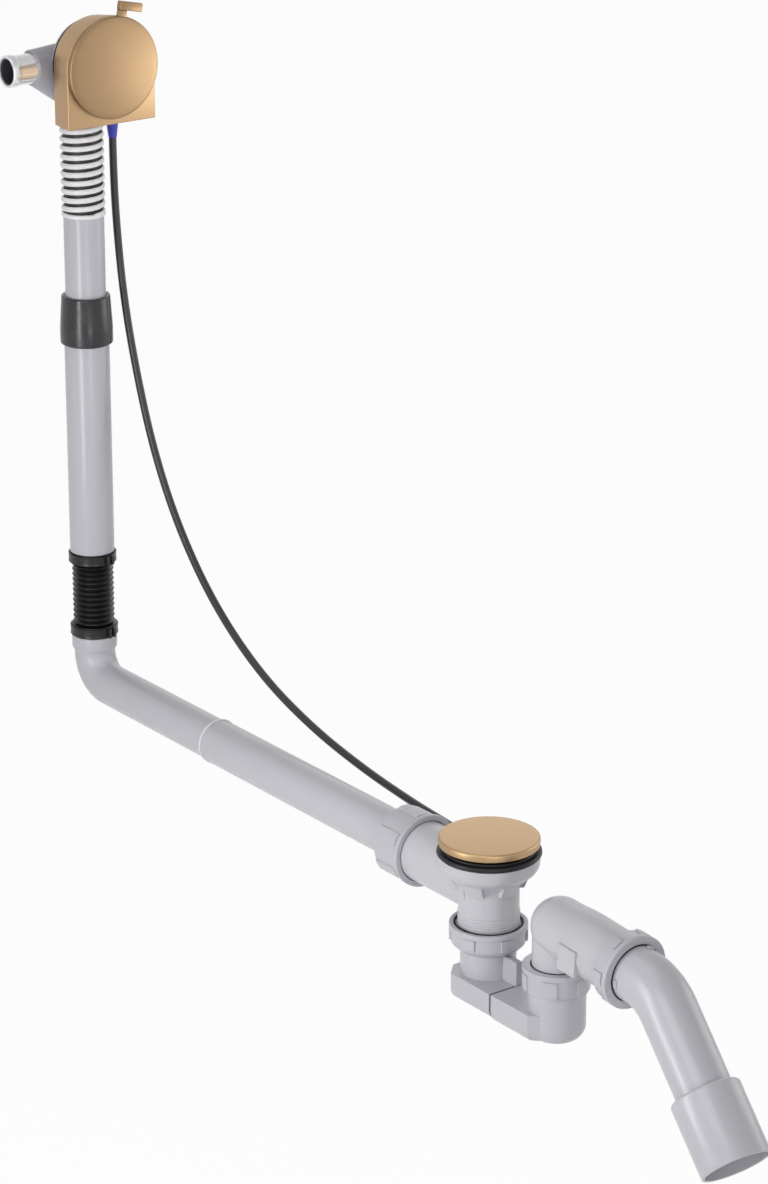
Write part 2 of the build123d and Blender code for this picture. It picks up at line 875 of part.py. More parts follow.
def make_head_gland():
    top = head_gland_end + head_gland_long
    cone = head_gland_end + head_gland_long / 2
    return Pos(riser_x, head_gland_side, 0) * turned([
        (core_room_r, head_gland_end),
        (head_gland_tip_r, head_gland_end),
        (head_gland_r, cone),
        (head_gland_r, top),
        (core_room_r, top),
    ])


def make_control_cable():
    gland_end = guide_reach + waste_gland_long
    lead = gland_end + cable_lead
    route = [
        (riser_x, head_gland_side, 408),
        (riser_x, head_gland_side, 375),
        (-508.5, 30, 330),
        (-503, 31, 282),
        (-491, 32.5, 228),
        (-470, 34, 165),
        (-439, 36, 108),
        (-395, 38.5, 57),
        (-338, 41, 17.5),
        (-275, 43, -6),
        (-211, 45, -20),
        (-150, 46, -27.5),
        (-112, 46, -29.8),
        (-88, 44.5, -30.2),
        (guide_way[0] * lead, guide_way[1] * lead, guide_height),
        (guide_way[0] * gland_end, guide_way[1] * gland_end, guide_height),
    ]
    stretch = (head_gland_end - guide_height) / cable_fall
    points = [Vector(x, y, guide_height + (z - guide_height) * stretch) for x, y, z in route]
    runs = [points[i + 1] - points[i] for i in range(len(points) - 1)]
    radii = []
    for before, after in zip(runs, runs[1:]):
        half_turn = math.radians(before.get_angle(after)) / 2
        radii.append(0.45 * min(before.length, after.length) / math.tan(half_turn))
    path = FilletPolyline(*points, radius=radii)
    cable = rod_on(path, cable_r)
    print("cable radii", [round(radius) for radius in radii])
    section = math.pi * cable_r**2
    print("cable length", round(path.length, 1), "volume ratio", cable.volume / (path.length * section))
    return cable


def make_inlet_nut():
    thread_r = neck_thread_r + thread_room
    nut = union_nut(inlet_nut_long, thread_r, trap_pipe_r + slide_room, inlet_nut_wall, True)
    return Pos(0, 0, inlet_nut_top - inlet_nut_long) * Rot(0, 0, inlet_nut_turn) * nut


def trap_lip_top():
    return inlet_nut_top - inlet_nut_long + nut_shoulder + seat_room + trap_lip_thick


def make_inlet_seal():
    return tube(neck_r, neck_bore_r, trap_lip_top() + seat_room, neck_end)


def duct_length(start, end, half, low, high, edge):
    """An open length of the trap's flat duct, with its lower edges rounded."""
    block = Box(end - start, half * 2, high - low, align=(Align.MIN, Align.CENTER, Align.MIN))
    return Pos(start, 0, low) * fillet(block.edges().filter_by(Axis.X).group_by(Axis.Z)[0], edge)


def duct_block(start, end, half, low, high, edge, corner):
    """A length of the trap's flat duct that is closed at its start, where its corners are cut off."""
    block = Box(end - start, half * 2, high - low, align=(Align.MIN, Align.CENTER, Align.MIN))
    block = chamfer(block.edges().filter_by(Axis.Z).group_by(Axis.X)[0], corner)
    below = block.edges().group_by(Axis.Z)[0].filter_by(lambda line: line.center().X < end - start - 0.01)
    return Pos(start, 0, low) * fillet(below, edge)


def cut_corner(corner, inset):
    """How much of a corner is cut off a way inside it, at the same distance from every face."""
    return corner - inset * (2 - math.sqrt(2))


def make_trap_inlet_half():
    pipe_bore = trap_pipe_r - trap_wall
    lip_top = trap_lip_top()
    half = duct_block(duct_end, duct_seam, duct_half, duct_bottom, duct_top, duct_edge, duct_corner)
    half = chamfer(half.edges().group_by(Axis.X)[-1], duct_groove)
    web_low = duct_top - trap_wall / 2
    web_high = inlet_nut_top - inlet_nut_long - web_drop - web_low
    web = Box(duct_seam - web_drop, web_thick, web_high, align=(Align.MIN, Align.CENTER, Align.MIN))
    half += Pos(0, 0, web_low) * web
    half += turned([
        (0, duct_top - trap_wall),
        (trap_pipe_r, duct_top - trap_wall),
        (trap_pipe_r, lip_top - trap_lip_thick),
        (trap_pipe_r + trap_lip, lip_top - trap_lip_thick),
        (trap_pipe_r + trap_lip, lip_top),
        (0, lip_top),
    ])
    room_half = duct_half - trap_wall
    room_low = duct_bottom + trap_wall
    room_high = duct_top - trap_wall
    room_edge = duct_edge - trap_wall
    room_corner = cut_corner(duct_corner, trap_wall)
    room_end = duct_seam - trap_wall
    half -= duct_block(duct_end + trap_wall, room_end, room_half, room_low, room_high, room_edge, room_corner)
    spigot_half = room_half - push_room
    spigot_low = room_low + push_room
    spigot_high = room_high - push_room
    spigot_end = duct_seam + duct_overlap
    half += duct_length(duct_seam, spigot_end, spigot_half, spigot_low, spigot_high, room_edge)
    way_half = spigot_half - trap_wall
    way_low = spigot_low + trap_wall
    way_high = spigot_high - trap_wall
    way_edge = room_edge - trap_wall
    half -= duct_length(room_end - trap_wall, spigot_end + trap_wall, way_half, way_low, way_high, way_edge)
    half -= rod(pipe_bore, room_high, lip_top)
    return half


def bowl_duct(inset):
    """The duct from the seam into the bowl, some way in from its outside."""
    far = leg_spacing + bowl_corner - inset
    half = duct_half + duct_step - inset
    low = duct_bottom - duct_step + inset
    high = duct_top + duct_step - inset
    corner = cut_corner(bowl_corner, inset)
    return mirror(duct_block(-far, -duct_seam, half, low, high, duct_edge - inset, corner), about=Plane.YZ)


def make_trap_outlet_half():
    bowl = rod(bowl_r, bowl_bottom, trap_nut_top - trap_nut_long)
    bowl = fillet(bowl.edges().group_by(Axis.Z)[0], bowl_edge)
    half = bowl_duct(0) + on_outlet_leg(bowl)
    half += on_outlet_leg(rod(leg_thread_r, trap_nut_top - trap_nut_long, trap_socket_top))
    room = rod(leg_socket_r - leg_stop, bowl_bottom + trap_wall, elbow_depth)
    room = fillet(room.edges().group_by(Axis.Z)[0], bowl_edge - trap_wall)
    half -= on_outlet_leg(room)
    half -= on_outlet_leg(rod(leg_socket_r, elbow_depth, trap_socket_top))
    return half - bowl_duct(trap_wall + duct_step)


def make_trap_nut():
    nut = union_nut(trap_nut_long, leg_thread_r + thread_room, elbow_leg_r + nut_gap, nut_wall, False)
    return on_outlet_leg(Pos(0, 0, trap_nut_top) * Rot(0, 0, trap_nut_turn) * Rot(180, 0, 0) * nut)


def make_trap_seal():
    return on_outlet_leg(tube(leg_thread_r, leg_socket_r, trap_socket_top, trap_nut_top - nut_shoulder))


def elbow_limb(ball):
    """The elbow's solid limb, with a ball at its corner that swells smoothly to the socket."""
    half_way = elbow_ball_r * math.sqrt(0.5)
    start = (0, ball - elbow_ball_r)
    side = (elbow_ball_r, ball)
    socket = (socket_thread_r, outlet_socket_start)
    mouth = (socket_thread_r, outlet_socket_end)
    edges = [
        ThreePointArc(start, (half_way, ball - half_way), side),
        s_flank(socket, side),
        Line(socket, mouth),
        Line(mouth, (0, outlet_socket_end)),
        Line((0, outlet_socket_end), start),
    ]
    return revolve(make_face([Plane.XZ * edge for edge in edges]), Axis.Z)


def make_outlet_elbow():
    ball = leg_spacing + elbow_ball_r - leg_socket_r
    leg_low = elbow_depth + seat_room
    elbow = on_limb(laid_x(elbow_limb(ball), 0))
    elbow += on_outlet_leg(rod(elbow_leg_r, leg_low, outlet_height))
    pad = Box(pad_wide, pad_thick + socket_wall, pad_high, align=(Align.MIN, Align.MIN, Align.CENTER))
    elbow += on_limb(Pos(pad_from, -socket_thread_r - pad_thick, -pad_drop) * pad)
    bore_r = trap_pipe_r - trap_wall
    elbow -= on_limb(Pos(ball, 0, 0) * Sphere(bore_r))
    elbow -= on_limb(laid_x(rod(bore_r, ball, outlet_socket_stop), 0))
    elbow -= on_limb(laid_x(rod(socket_r, outlet_socket_stop, outlet_socket_end), 0))
    elbow -= on_outlet_leg(rod(elbow_leg_r - trap_wall, leg_low, outlet_height))
    return elbow


def make_outlet_nut():
    nut = union_nut(outlet_nut_long, socket_thread_r + thread_room, trap_pipe_r + nut_gap, nut_wall, False)
    turned_nut = Pos(0, 0, outlet_nut_face) * Rot(0, 0, outlet_nut_turn) * Rot(180, 0, 0) * nut
    return on_limb(laid_x(turned_nut, 0))


def make_outlet_seal():
    seal = tube(socket_thread_r, socket_r, outlet_socket_end, outlet_nut_face - nut_shoulder)
    return on_limb(laid_x(seal, 0))


def on_outlet(shape):
    """Turn a piece that hangs straight under the outlet's axis to the swivel's rest position."""
    return on_limb(Rot(-outlet_turn, 0, 0) * shape)


def outlet_way(distance):
    """A point on the tail of the bend, in the outlet's own plane."""
    tilt = math.radians(outlet_bend_angle)
    return (bend_corner + distance * math.cos(tilt), 0, -distance * math.sin(tilt))


def make_outlet_bend():
    path = FilletPolyline((bend_start, 0, 0), (bend_corner, 0, 0), outlet_way(sleeve_stop), radius=bend_r)
    bend = pipe_on(path, trap_pipe_r, trap_pipe_r - trap_wall)
    lug = Box(bend_lug_long, bend_lug_wide, bend_lug_high)
    lug_x = outlet_nut_face + bend_lug_gap + bend_lug_long / 2
    for spot in range(bend_lug_count):
        turn = bend_lug_turn + 360 / bend_lug_count * spot
        bend += Rot(turn, 0, 0) * Pos(lug_x, 0, trap_pipe_r) * lug
    return on_outlet(bend)


def make_reducer_sleeve():
    fit_r = trap_pipe_r + push_room
    mouth_r = sleeve_r - sleeve_wall
    stop = sleeve_stop + push_room
    sleeve = turned([
        (fit_r, sleeve_from),
        (sleeve_r - sleeve_chamfer, sleeve_from),
        (sleeve_r, sleeve_from + sleeve_chamfer),
        (sleeve_r, sleeve_to),
        (mouth_r, sleeve_to),
        (mouth_r, stop + sleeve_stop_thick),
        (trap_pipe_r - trap_wall, stop + sleeve_stop_thick),
        (trap_pipe_r - trap_wall, stop),
        (fit_r, stop),
    ])
    return on_outlet(Pos(bend_corner, 0, 0) * Rot(0, 90 + outlet_bend_angle, 0) * sleeve)


pieces = {
    "waste_gasket": make_waste_gasket(),
    "waste_body": make_waste_body(),
    "waste_flange": make_waste_flange(),
    "plug_cap": make_plug_cap(),
    "plug_seal": make_plug_seal(),
    "plug_stem": make_plug_stem(),
    "lift_pin": make_lift_pin(),
    "cable_guide": make_cable_guide(),
    "waste_gland": make_waste_gland(),
    "branch_nut": make_branch_nut(),
    "branch_seal": make_branch_seal(),
    "overflow_pipe": make_overflow_pipe(),
    "riser_elbow": make_riser_elbow(),
    "bellows": make_bellows(),
    "lower_clip": make_clip(bellows_low - cuff_long + clip_room),
    "upper_clip": make_clip(bellows_high + clip_room),
    "lower_pipe": make_lower_pipe(),
    "upper_pipe": make_upper_pipe(),
    "slide_collar": make_slide_collar(),
    "hose_wall": make_hose_wall(),
    "hose_spiral": make_hose_spiral(),
    "overflow_body": make_overflow_body(),
    "inlet_nipple": make_inlet_nipple(),
    "overflow_seal": make_overflow_seal(),
    "clamp_ring": make_clamp_ring(),
    "overflow_cover": make_overflow_cover(),
    "cover_screws": make_cover_screws(),
    "control_disc": make_control_disc(),
    "finger_lever": make_finger_lever(),
    "control_spindle": make_control_spindle(),
    "spindle_clip": make_spindle_clip(),
    "cable_drum": make_cable_drum(),
    "head_gland": make_head_gland(),
    "control_cable": make_control_cable(),
    "inlet_nut": make_inlet_nut(),
    "inlet_seal": make_inlet_seal(),
    "trap_inlet_half": make_trap_inlet_half(),
    "trap_outlet_half": make_trap_outlet_half(),
    "trap_nut": make_trap_nut(),
    "trap_seal": make_trap_seal(),
    "outlet_elbow": make_outlet_elbow(),
    "outlet_nut": make_outlet_nut(),
    "outlet_seal": make_outlet_seal(),
    "outlet_bend": make_outlet_bend(),
    "reducer_sleeve": make_reducer_sleeve(),
}

os.makedirs("parts", exist_ok=True)
for name, shape in pieces.items():
    export_step(shape, f"parts/{name}.step")
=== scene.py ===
import math
import bmesh
import bpy
from mathutils import Matrix, Vector


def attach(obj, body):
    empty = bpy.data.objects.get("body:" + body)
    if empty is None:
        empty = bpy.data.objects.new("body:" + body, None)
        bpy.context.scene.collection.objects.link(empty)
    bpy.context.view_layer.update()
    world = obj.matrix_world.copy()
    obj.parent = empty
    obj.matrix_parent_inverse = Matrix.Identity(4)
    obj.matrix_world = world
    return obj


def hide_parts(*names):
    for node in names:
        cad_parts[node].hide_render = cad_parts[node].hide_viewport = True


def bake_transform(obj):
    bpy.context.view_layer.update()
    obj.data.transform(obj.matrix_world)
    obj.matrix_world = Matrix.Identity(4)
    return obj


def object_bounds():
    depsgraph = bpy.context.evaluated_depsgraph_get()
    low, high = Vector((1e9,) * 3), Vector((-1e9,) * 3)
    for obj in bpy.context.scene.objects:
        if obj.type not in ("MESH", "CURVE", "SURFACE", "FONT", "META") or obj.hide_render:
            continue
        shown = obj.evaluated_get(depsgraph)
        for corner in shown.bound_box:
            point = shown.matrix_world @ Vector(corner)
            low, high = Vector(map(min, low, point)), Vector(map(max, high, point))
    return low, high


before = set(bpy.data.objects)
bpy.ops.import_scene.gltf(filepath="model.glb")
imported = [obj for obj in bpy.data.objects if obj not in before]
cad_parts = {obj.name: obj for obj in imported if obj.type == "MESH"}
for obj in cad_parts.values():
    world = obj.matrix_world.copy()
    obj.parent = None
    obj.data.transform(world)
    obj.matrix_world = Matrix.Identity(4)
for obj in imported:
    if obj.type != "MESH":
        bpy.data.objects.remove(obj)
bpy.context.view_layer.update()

# Waste body
# The funnel under the bath floor is one pale grey polypropylene moulding with a side branch,
# lugs under its rim, a boss for the cable guide and a threaded neck that the trap's nut grips.
mm = 0.001
neck_r = 21.7
neck_thread_low = -56.4
neck_thread_high = -45.5
thread_pitch = 2.0
thread_depth = 0.45
thread_root = 0.2
thread_half_wide = thread_pitch * 0.3
turn_steps = 64
grain_depth = 0.1
weld_gap = 0.002


def srgb(red, green, blue):
    """A colour as a swatch gives it, 0 to 255 a channel, for a shader's socket."""
    parts = [part / 255 for part in (red, green, blue)]
    return (*[p / 12.92 if p < 0.04045 else ((p + 0.055) / 1.055) ** 2.4 for p in parts], 1)


def new_group(name, takes, gives):
    """An empty shader node group with named sockets, and its input and output nodes."""
    group = bpy.data.node_groups.new(name, "ShaderNodeTree")
    for way, sockets in (("INPUT", takes), ("OUTPUT", gives)):
        for socket, kind in sockets:
            group.interface.new_socket(socket, in_out=way, socket_type="NodeSocket" + kind)
    return group, group.nodes.new("NodeGroupInput"), group.nodes.new("NodeGroupOutput")


def noise_at(group, place, scale, detail):
    """A noise of the given scale and detail at the points that a socket gives."""
    noise = group.nodes.new("ShaderNodeTexNoise")
    noise.inputs["Scale"].default_value = scale
    noise.inputs["Detail"].default_value = detail
    group.links.new(place, noise.inputs["Vector"])
    return noise.outputs["Fac"]


def spread_about(group, fac, middle, half):
    """A Map Range that spreads a 0.3 to 0.7 noise over middle minus half to middle plus half."""
    low = group.nodes.new("ShaderNodeMath")
    low.operation = "SUBTRACT"
    high = group.nodes.new("ShaderNodeMath")
    for node in (low, high):
        for place, value in enumerate((middle, half)):
            if isinstance(value, (int, float)):
                node.inputs[place].default_value = value
            else:
                group.links.new(value, node.inputs[place])
    spread = group.nodes.new("ShaderNodeMapRange")
    spread.inputs["From Min"].default_value = 0.3
    spread.inputs["From Max"].default_value = 0.7
    group.links.new(fac, spread.inputs["Value"])
    group.links.new(low.outputs[0], spread.inputs["To Min"])
    group.links.new(high.outputs[0], spread.inputs["To Max"])
    return spread.outputs["Result"]


def shaded(group, tint, amount):
    """A tint made lighter and darker by an amount that changes over the surface."""
    shade = group.nodes.new("ShaderNodeVectorMath")
    shade.operation = "SCALE"
    group.links.new(tint, shade.inputs[0])
    group.links.new(amount, shade.inputs["Scale"])
    return shade.outputs[0]


def make_moulded_skin():
    """Moulded plastic and rubber: cloudy tint, uneven gloss and the fine grain of the mould."""
    takes = (("Tint", "Color"), ("Mottle", "Float"), ("Roughness", "Float"), ("Uneven", "Float"))
    gives = (("Colour", "Color"), ("Roughness", "Float"), ("Height", "Float"))
    group, inlet, outlet = new_group("moulded_skin", takes, gives)
    place = group.nodes.new("ShaderNodeTexCoord").outputs["Object"]
    cloud = noise_at(group, place, 26, 4)
    gloss = noise_at(group, place, 90, 3)
    grain = noise_at(group, place, 1500, 2)
    mottled = spread_about(group, cloud, 1.0, inlet.outputs["Mottle"])
    colour = shaded(group, inlet.outputs["Tint"], mottled)
    rough = spread_about(group, gloss, inlet.outputs["Roughness"], inlet.outputs["Uneven"])
    group.links.new(colour, outlet.inputs["Colour"])
    group.links.new(rough, outlet.inputs["Roughness"])
    group.links.new(grain, outlet.inputs["Height"])
    return group


moulded_skin = make_moulded_skin()


def finish_from(name, group, settings, relief):
    """A material whose group gives colour, roughness and relief to a Principled shader."""
    material = bpy.data.materials.new(name)
    material.use_nodes = True
    tree = material.node_tree
    shader = tree.nodes["Principled BSDF"]
    skin = tree.nodes.new("ShaderNodeGroup")
    skin.node_tree = group
    for socket, value in settings.items():
        skin.inputs[socket].default_value = value
    bump = tree.nodes.new("ShaderNodeBump")
    bump.inputs["Strength"].default_value = relief
    bump.inputs["Distance"].default_value = grain_depth * mm
    tree.links.new(skin.outputs["Colour"], shader.inputs["Base Color"])
    tree.links.new(skin.outputs["Roughness"], shader.inputs["Roughness"])
    tree.links.new(skin.outputs["Height"], bump.inputs["Height"])
    tree.links.new(bump.outputs["Normal"], shader.inputs["Normal"])
    return material, shader, skin


def moulded(name, tint, roughness, mottle=0.015, uneven=0.02, relief=0.12, shine=0.5):
    """Moulded plastic or rubber, with its clouding, uneven gloss, grain and strength of shine."""
    settings = {"Tint": tint, "Mottle": mottle, "Roughness": roughness, "Uneven": uneven}
    material, shader, _ = finish_from(name, moulded_skin, settings, relief)
    shader.inputs["Specular IOR Level"].default_value = shine
    return material


def dress(material, *names):
    """Give the CAD nodes that are shown as they are a finish of their own."""
    for name in names:
        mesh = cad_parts[name].data
        mesh.materials.clear()
        mesh.materials.append(material)


def finish_piece(name, bm, material, body, node=None, crease=38):
    """Close a modelled mesh, shade it smooth between its creases, and put it on its body."""
    bmesh.ops.remove_doubles(bm, verts=bm.verts, dist=weld_gap * mm)
    bmesh.ops.recalc_face_normals(bm, faces=bm.faces)
    for face in bm.faces:
        face.smooth = True
    for edge in bm.edges:
        edge.smooth = len(edge.link_faces) == 2 and edge.calc_face_angle() < math.radians(crease)
    mesh = bpy.data.meshes.new(name)
    bm.to_mesh(mesh)
    bm.free()
    mesh.materials.append(material)
    piece = bpy.data.objects.new(name, mesh)
    bpy.context.scene.collection.objects.link(piece)
    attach(piece, body)
    if node:
        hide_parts(node)
    return piece


def put(bm, *moves):
    """Place a mesh by one or more matrices, the last one first."""
    place = Matrix.Identity(4)
    for move in moves:
        place = place @ move
    bmesh.ops.transform(bm, matrix=place, verts=bm.verts)
    return bm


def shift(x, y, z):
    """A move by three lengths."""
    return Matrix.Translation((x * mm, y * mm, z * mm))


def helix(section, turns, pitch):
    """Wind a closed outline of (radius, height) points round Z, and close both ends."""
    bm = bmesh.new()
    ring = [bm.verts.new((radius * mm, 0, height * mm)) for radius, height in section]
    for first, second in zip(ring, ring[1:] + ring[:1]):
        bm.edges.new((first, second))
    count = round(turns * turn_steps)
    rise = (0, 0, pitch * mm / turn_steps)
    bmesh.ops.spin(
        bm, geom=bm.verts[:] + bm.edges[:], cent=(0, 0, 0), axis=(0, 0, 1), dvec=rise,
        angle=math.tau * count / turn_steps, steps=count, use_merge=False, use_duplicate=False,
    )
    bmesh.ops.holes_fill(bm, edges=bm.edges, sides=0)
    return bm


def thread_ridge(radius, low, high):
    """The ridge of a thread, with its root sunk a little into the neck that it is wound on."""
    section = [
        (radius - thread_root, -thread_half_wide),
        (radius + thread_depth, 0),
        (radius - thread_root, thread_half_wide),
    ]
    turns = (high - low) / thread_pitch
    return put(helix(section, turns, thread_pitch), shift(0, 0, low))


body_grey = moulded("body_grey", srgb(199, 198, 204), 0.30, mottle=0.025, relief=0.18)
dress(body_grey, "waste_body")
neck_thread = thread_ridge(neck_r, neck_thread_low, neck_thread_high)
finish_piece("neck_thread", neck_thread, body_grey, "root")

# Waste gasket and flange
# A thick black rubber gasket under the bath floor, with a bead that the flange is pressed into.
# The flange and its spoked hub are one steel pressing that screws into the body from above.
gasket_outline = [
    (26.5, -4.0, 0),
    (36.0, -4.0, 0.6),
    (37.4, -2.6, 0.6),
    (36.7, 0.0, 0.8),
    (33.3, 0.0, 0.3),
    (33.3, 1.3, 0.6),
    (30.4, 2.2, 0.2),
    (30.4, 0.0, 0),
    (26.5, 0.0, 0),
]


def turned(outline, closed=True, around=96):
    """Turn an outline of (radius, height, rounding) points about Z. An open one ends on the axis
    or in a free edge."""
    bm = bmesh.new()
    corners = [bm.verts.new((radius * mm, 0, height * mm)) for radius, height, _ in outline]
    for first, second in zip(corners, corners[1:] + corners[:1] * closed):
        bm.edges.new((first, second))
    for corner, (_, _, rounding) in zip(corners, outline):
        if rounding:
            bmesh.ops.bevel(
                bm, geom=[corner], offset=rounding * mm, offset_type="OFFSET", segments=4,
                profile=0.5, affect="VERTICES", material=-1,
            )
    bmesh.ops.spin(
        bm, geom=bm.verts[:] + bm.edges[:], cent=(0, 0, 0), axis=(0, 0, 1), dvec=(0, 0, 0),
        angle=math.tau, steps=around, use_merge=True, use_duplicate=False,
    )
    return bm


gasket_rubber = moulded(
    "gasket_rubber", srgb(25, 25, 29), 0.46, mottle=0.12, uneven=0.06, relief=0.4, shine=0.3,
)
finish_piece("gasket", turned(gasket_outline), gasket_rubber, "root", "waste_gasket")


def metal(name, tint, roughness, metallic=1.0):
    """Plain worked metal, with faint clouding and uneven polish."""
    settings = {"Tint": tint, "Mottle": 0.05, "Roughness": roughness, "Uneven": 0.05}
    material, shader, _ = finish_from(name, moulded_skin, settings, relief=0.1)
    shader.inputs["Metallic"].default_value = metallic
    return material


plain_steel = metal("plain_steel", srgb(196, 196, 198), 0.32)
dress(plain_steel, "waste_flange")

# Plug
# The push-down plug is a shallow bronze-finished cap, brushed one way, on a brass stem with a
# rubber sealing disc. A steel pin from the cable guide lifts it.
cap_r = 36.0
cap_low = 3.9
cap_high = 9.3
cap_dome = 0.9
cap_edge = 1.6
cap_wall = 2.4
cap_boss_r = 26.5
cap_boss_low = 4.9
stem_hole_r = 2.9
stem_hole_top = 7.5
dome_rings = 10
round_steps = 128
brushed_across = (1500, 18, 1500)


def make_brushed_streaks():
    """Brushed metal: long fine scratches in tint, gloss and relief."""
    takes = (("Vector", "Vector"), ("Tint", "Color"), ("Streak", "Float"), ("Roughness", "Float"))
    gives = (("Colour", "Color"), ("Roughness", "Float"), ("Height", "Float"))
    group, inlet, outlet = new_group("brushed_streaks", takes, gives)
    streak = noise_at(group, inlet.outputs["Vector"], 1.0, 5)
    hair = noise_at(group, inlet.outputs["Vector"], 3.0, 2)
    streaked = spread_about(group, streak, 1.0, inlet.outputs["Streak"])
    colour = shaded(group, inlet.outputs["Tint"], streaked)
    rough = spread_about(group, hair, inlet.outputs["Roughness"], 0.04)
    group.links.new(colour, outlet.inputs["Colour"])
    group.links.new(rough, outlet.inputs["Roughness"])
    group.links.new(hair, outlet.inputs["Height"])
    return group


brushed_streaks = make_brushed_streaks()


def brushed(name, tint, roughness):
    """Brushed metal whose scratches run along Y."""
    settings = {"Tint": tint, "Streak": 0.025, "Roughness": roughness}
    material, shader, skin = finish_from(name, brushed_streaks, settings, relief=0.1)
    shader.inputs["Metallic"].default_value = 1
    tree = material.node_tree
    place = tree.nodes.new("ShaderNodeTexCoord")
    stretch = tree.nodes.new("ShaderNodeMapping")
    stretch.inputs["Scale"].default_value = brushed_across
    tree.links.new(place.outputs["Object"], stretch.inputs["Vector"])
    tree.links.new(stretch.outputs["Vector"], skin.inputs["Vector"])
    return material


def domed(radius, edge, top, dome):
    """The outline of a faint dome, from its crown to its edge, as points for turned."""
    points = [(0, top, 0)]
    for ring in range(1, dome_rings + 1):
        reach = (radius - edge) * ring / dome_rings
        points.append((reach, top - dome * (reach / radius) ** 2, 0))
    return points


cap_outline = domed(cap_r, cap_edge, cap_high + cap_dome, cap_dome)
cap_outline += [
    (cap_r, cap_high - 0.1, 1.2),
    (cap_r - 0.1, cap_low, 0.5),
    (cap_r - cap_wall, cap_low, 0.3),
    (cap_r - cap_wall, cap_high - cap_wall, 0),
    (cap_boss_r, cap_high - cap_wall, 0),
    (cap_boss_r, cap_boss_low, 0),
    (stem_hole_r, cap_boss_low, 0),
    (stem_hole_r, stem_hole_top, 0),
    (0, stem_hole_top, 0),
]
cap_bronze = brushed("cap_bronze", srgb(178, 149, 113), 0.40)
cap = turned(cap_outline, closed=False, around=round_steps)
finish_piece("cap", cap, cap_bronze, "plug", "plug_cap")
seal_rubber = moulded(
    "seal_rubber", srgb(15, 15, 17), 0.55, mottle=0.12, uneven=0.06, relief=0.3, shine=0.25,
)
turned_brass = metal("turned_brass", srgb(214, 180, 108), 0.28)
dress(seal_rubber, "plug_seal")
dress(turned_brass, "plug_stem")
dress(plain_steel, "lift_pin")

# Cable guide and its gland at the waste
# A bent steel tube leads the cable's core to the pin under the plug, and a black nylon gland on
# the boss holds the end of the cable's sheath.
gland_black = moulded("gland_black", srgb(25, 25, 28), 0.40)
dress(plain_steel, "cable_guide")
dress(gland_black, "waste_gland")

# Branch nut, its seal and the overflow pipe
# The pipe from the overflow is a plain extruded tube; a pale ring at its far end is painted highlight
# for the light its cut edge catches. It slips into the branch through a black rubber seal, which a
# long grey union nut with moulded grips squeezes on to it.
drain_height = -28.0
grip_count = 6
grip_wide = 9.5
grip_steps = 30
grip_ease = 0.2
nut_grip = 1.2
nut_ring = 4.0
nut_shoulder = 4.0
nut_taper = 4.0
nut_wall = 2.8
branch_nut_end = -105.0
overflow_r = 17.2
overflow_bore = 15.4
overflow_near = -60.0
overflow_far = -337.0
rim_r = 17.8
rim_long = 1.2


def turn(degrees, axis):
    """A turn about an axis through the origin."""
    return Matrix.Rotation(math.radians(degrees), 4, axis)


def laid_x(height):
    """The move that lays a piece turned about Z along X at a height, so that its height is X."""
    return shift(0, 0, height) @ turn(90, "Y")


def union_nut(length, thread_r, pipe_r, wall, ring_on_mouth):
    """A union nut: its closed end is at height 0 and its threaded mouth at its length. A plain
    ring stands at one end, and raised grips run from it to the other."""
    body_r = thread_r + wall
    ring_r = body_r + nut_grip
    bore = [
        (pipe_r, 0, 0.3),
        (pipe_r, nut_shoulder, 0),
        (thread_r, nut_shoulder, 0),
        (thread_r, length, 0.4),
    ]
    if ring_on_mouth:
        step = length - nut_ring
        skin = [
            (ring_r, length, 0.7),
            (ring_r, step, 0.5),
            (body_r, step, 0.3),
            (body_r, nut_taper, 1.2),
            (max(body_r - nut_taper, pipe_r + wall / 2), 0, 0.6),
        ]
        grip_low = nut_taper + 1.0
        grip_high = step
    else:
        skin = [
            (body_r, length, 0.6),
            (body_r, nut_ring, 0.3),
            (ring_r, nut_ring, 0.5),
            (ring_r, 0, 0.7),
        ]
        grip_low = nut_ring
        grip_high = length - 0.5
    bm = turned(bore + skin, around=grip_count * grip_steps)
    bmesh.ops.recalc_face_normals(bm, faces=bm.faces)
    pitch = math.tau / grip_count
    half_grip = math.asin(grip_wide / 2 / body_r)
    grips = []
    for face in bm.faces:
        middle = face.calc_center_median()
        on_wall = abs(middle.xy.length - body_r * mm) < 0.15 * mm
        in_band = grip_low * mm < middle.z < grip_high * mm
        off_grip = (math.atan2(middle.y, middle.x) + pitch / 2) % pitch - pitch / 2
        if on_wall and in_band and abs(off_grip) < half_grip:
            grips.append(face)
    bmesh.ops.inset_region(
        bm, faces=grips, thickness=grip_ease * mm, depth=nut_grip * mm, use_boundary=True,
        use_even_offset=True,
    )
    return bm


on_drain = laid_x(drain_height)
nut_grey = moulded("nut_grey", srgb(193, 192, 199), 0.30, mottle=0.025, relief=0.18)
branch_nut = union_nut(length=32.0, thread_r=23.1, pipe_r=17.8, wall=nut_wall, ring_on_mouth=True)
branch_nut = put(branch_nut, on_drain, shift(0, 0, branch_nut_end))
finish_piece("branch_union_nut", branch_nut, nut_grey, "root", "branch_nut")
dress(seal_rubber, "branch_seal")

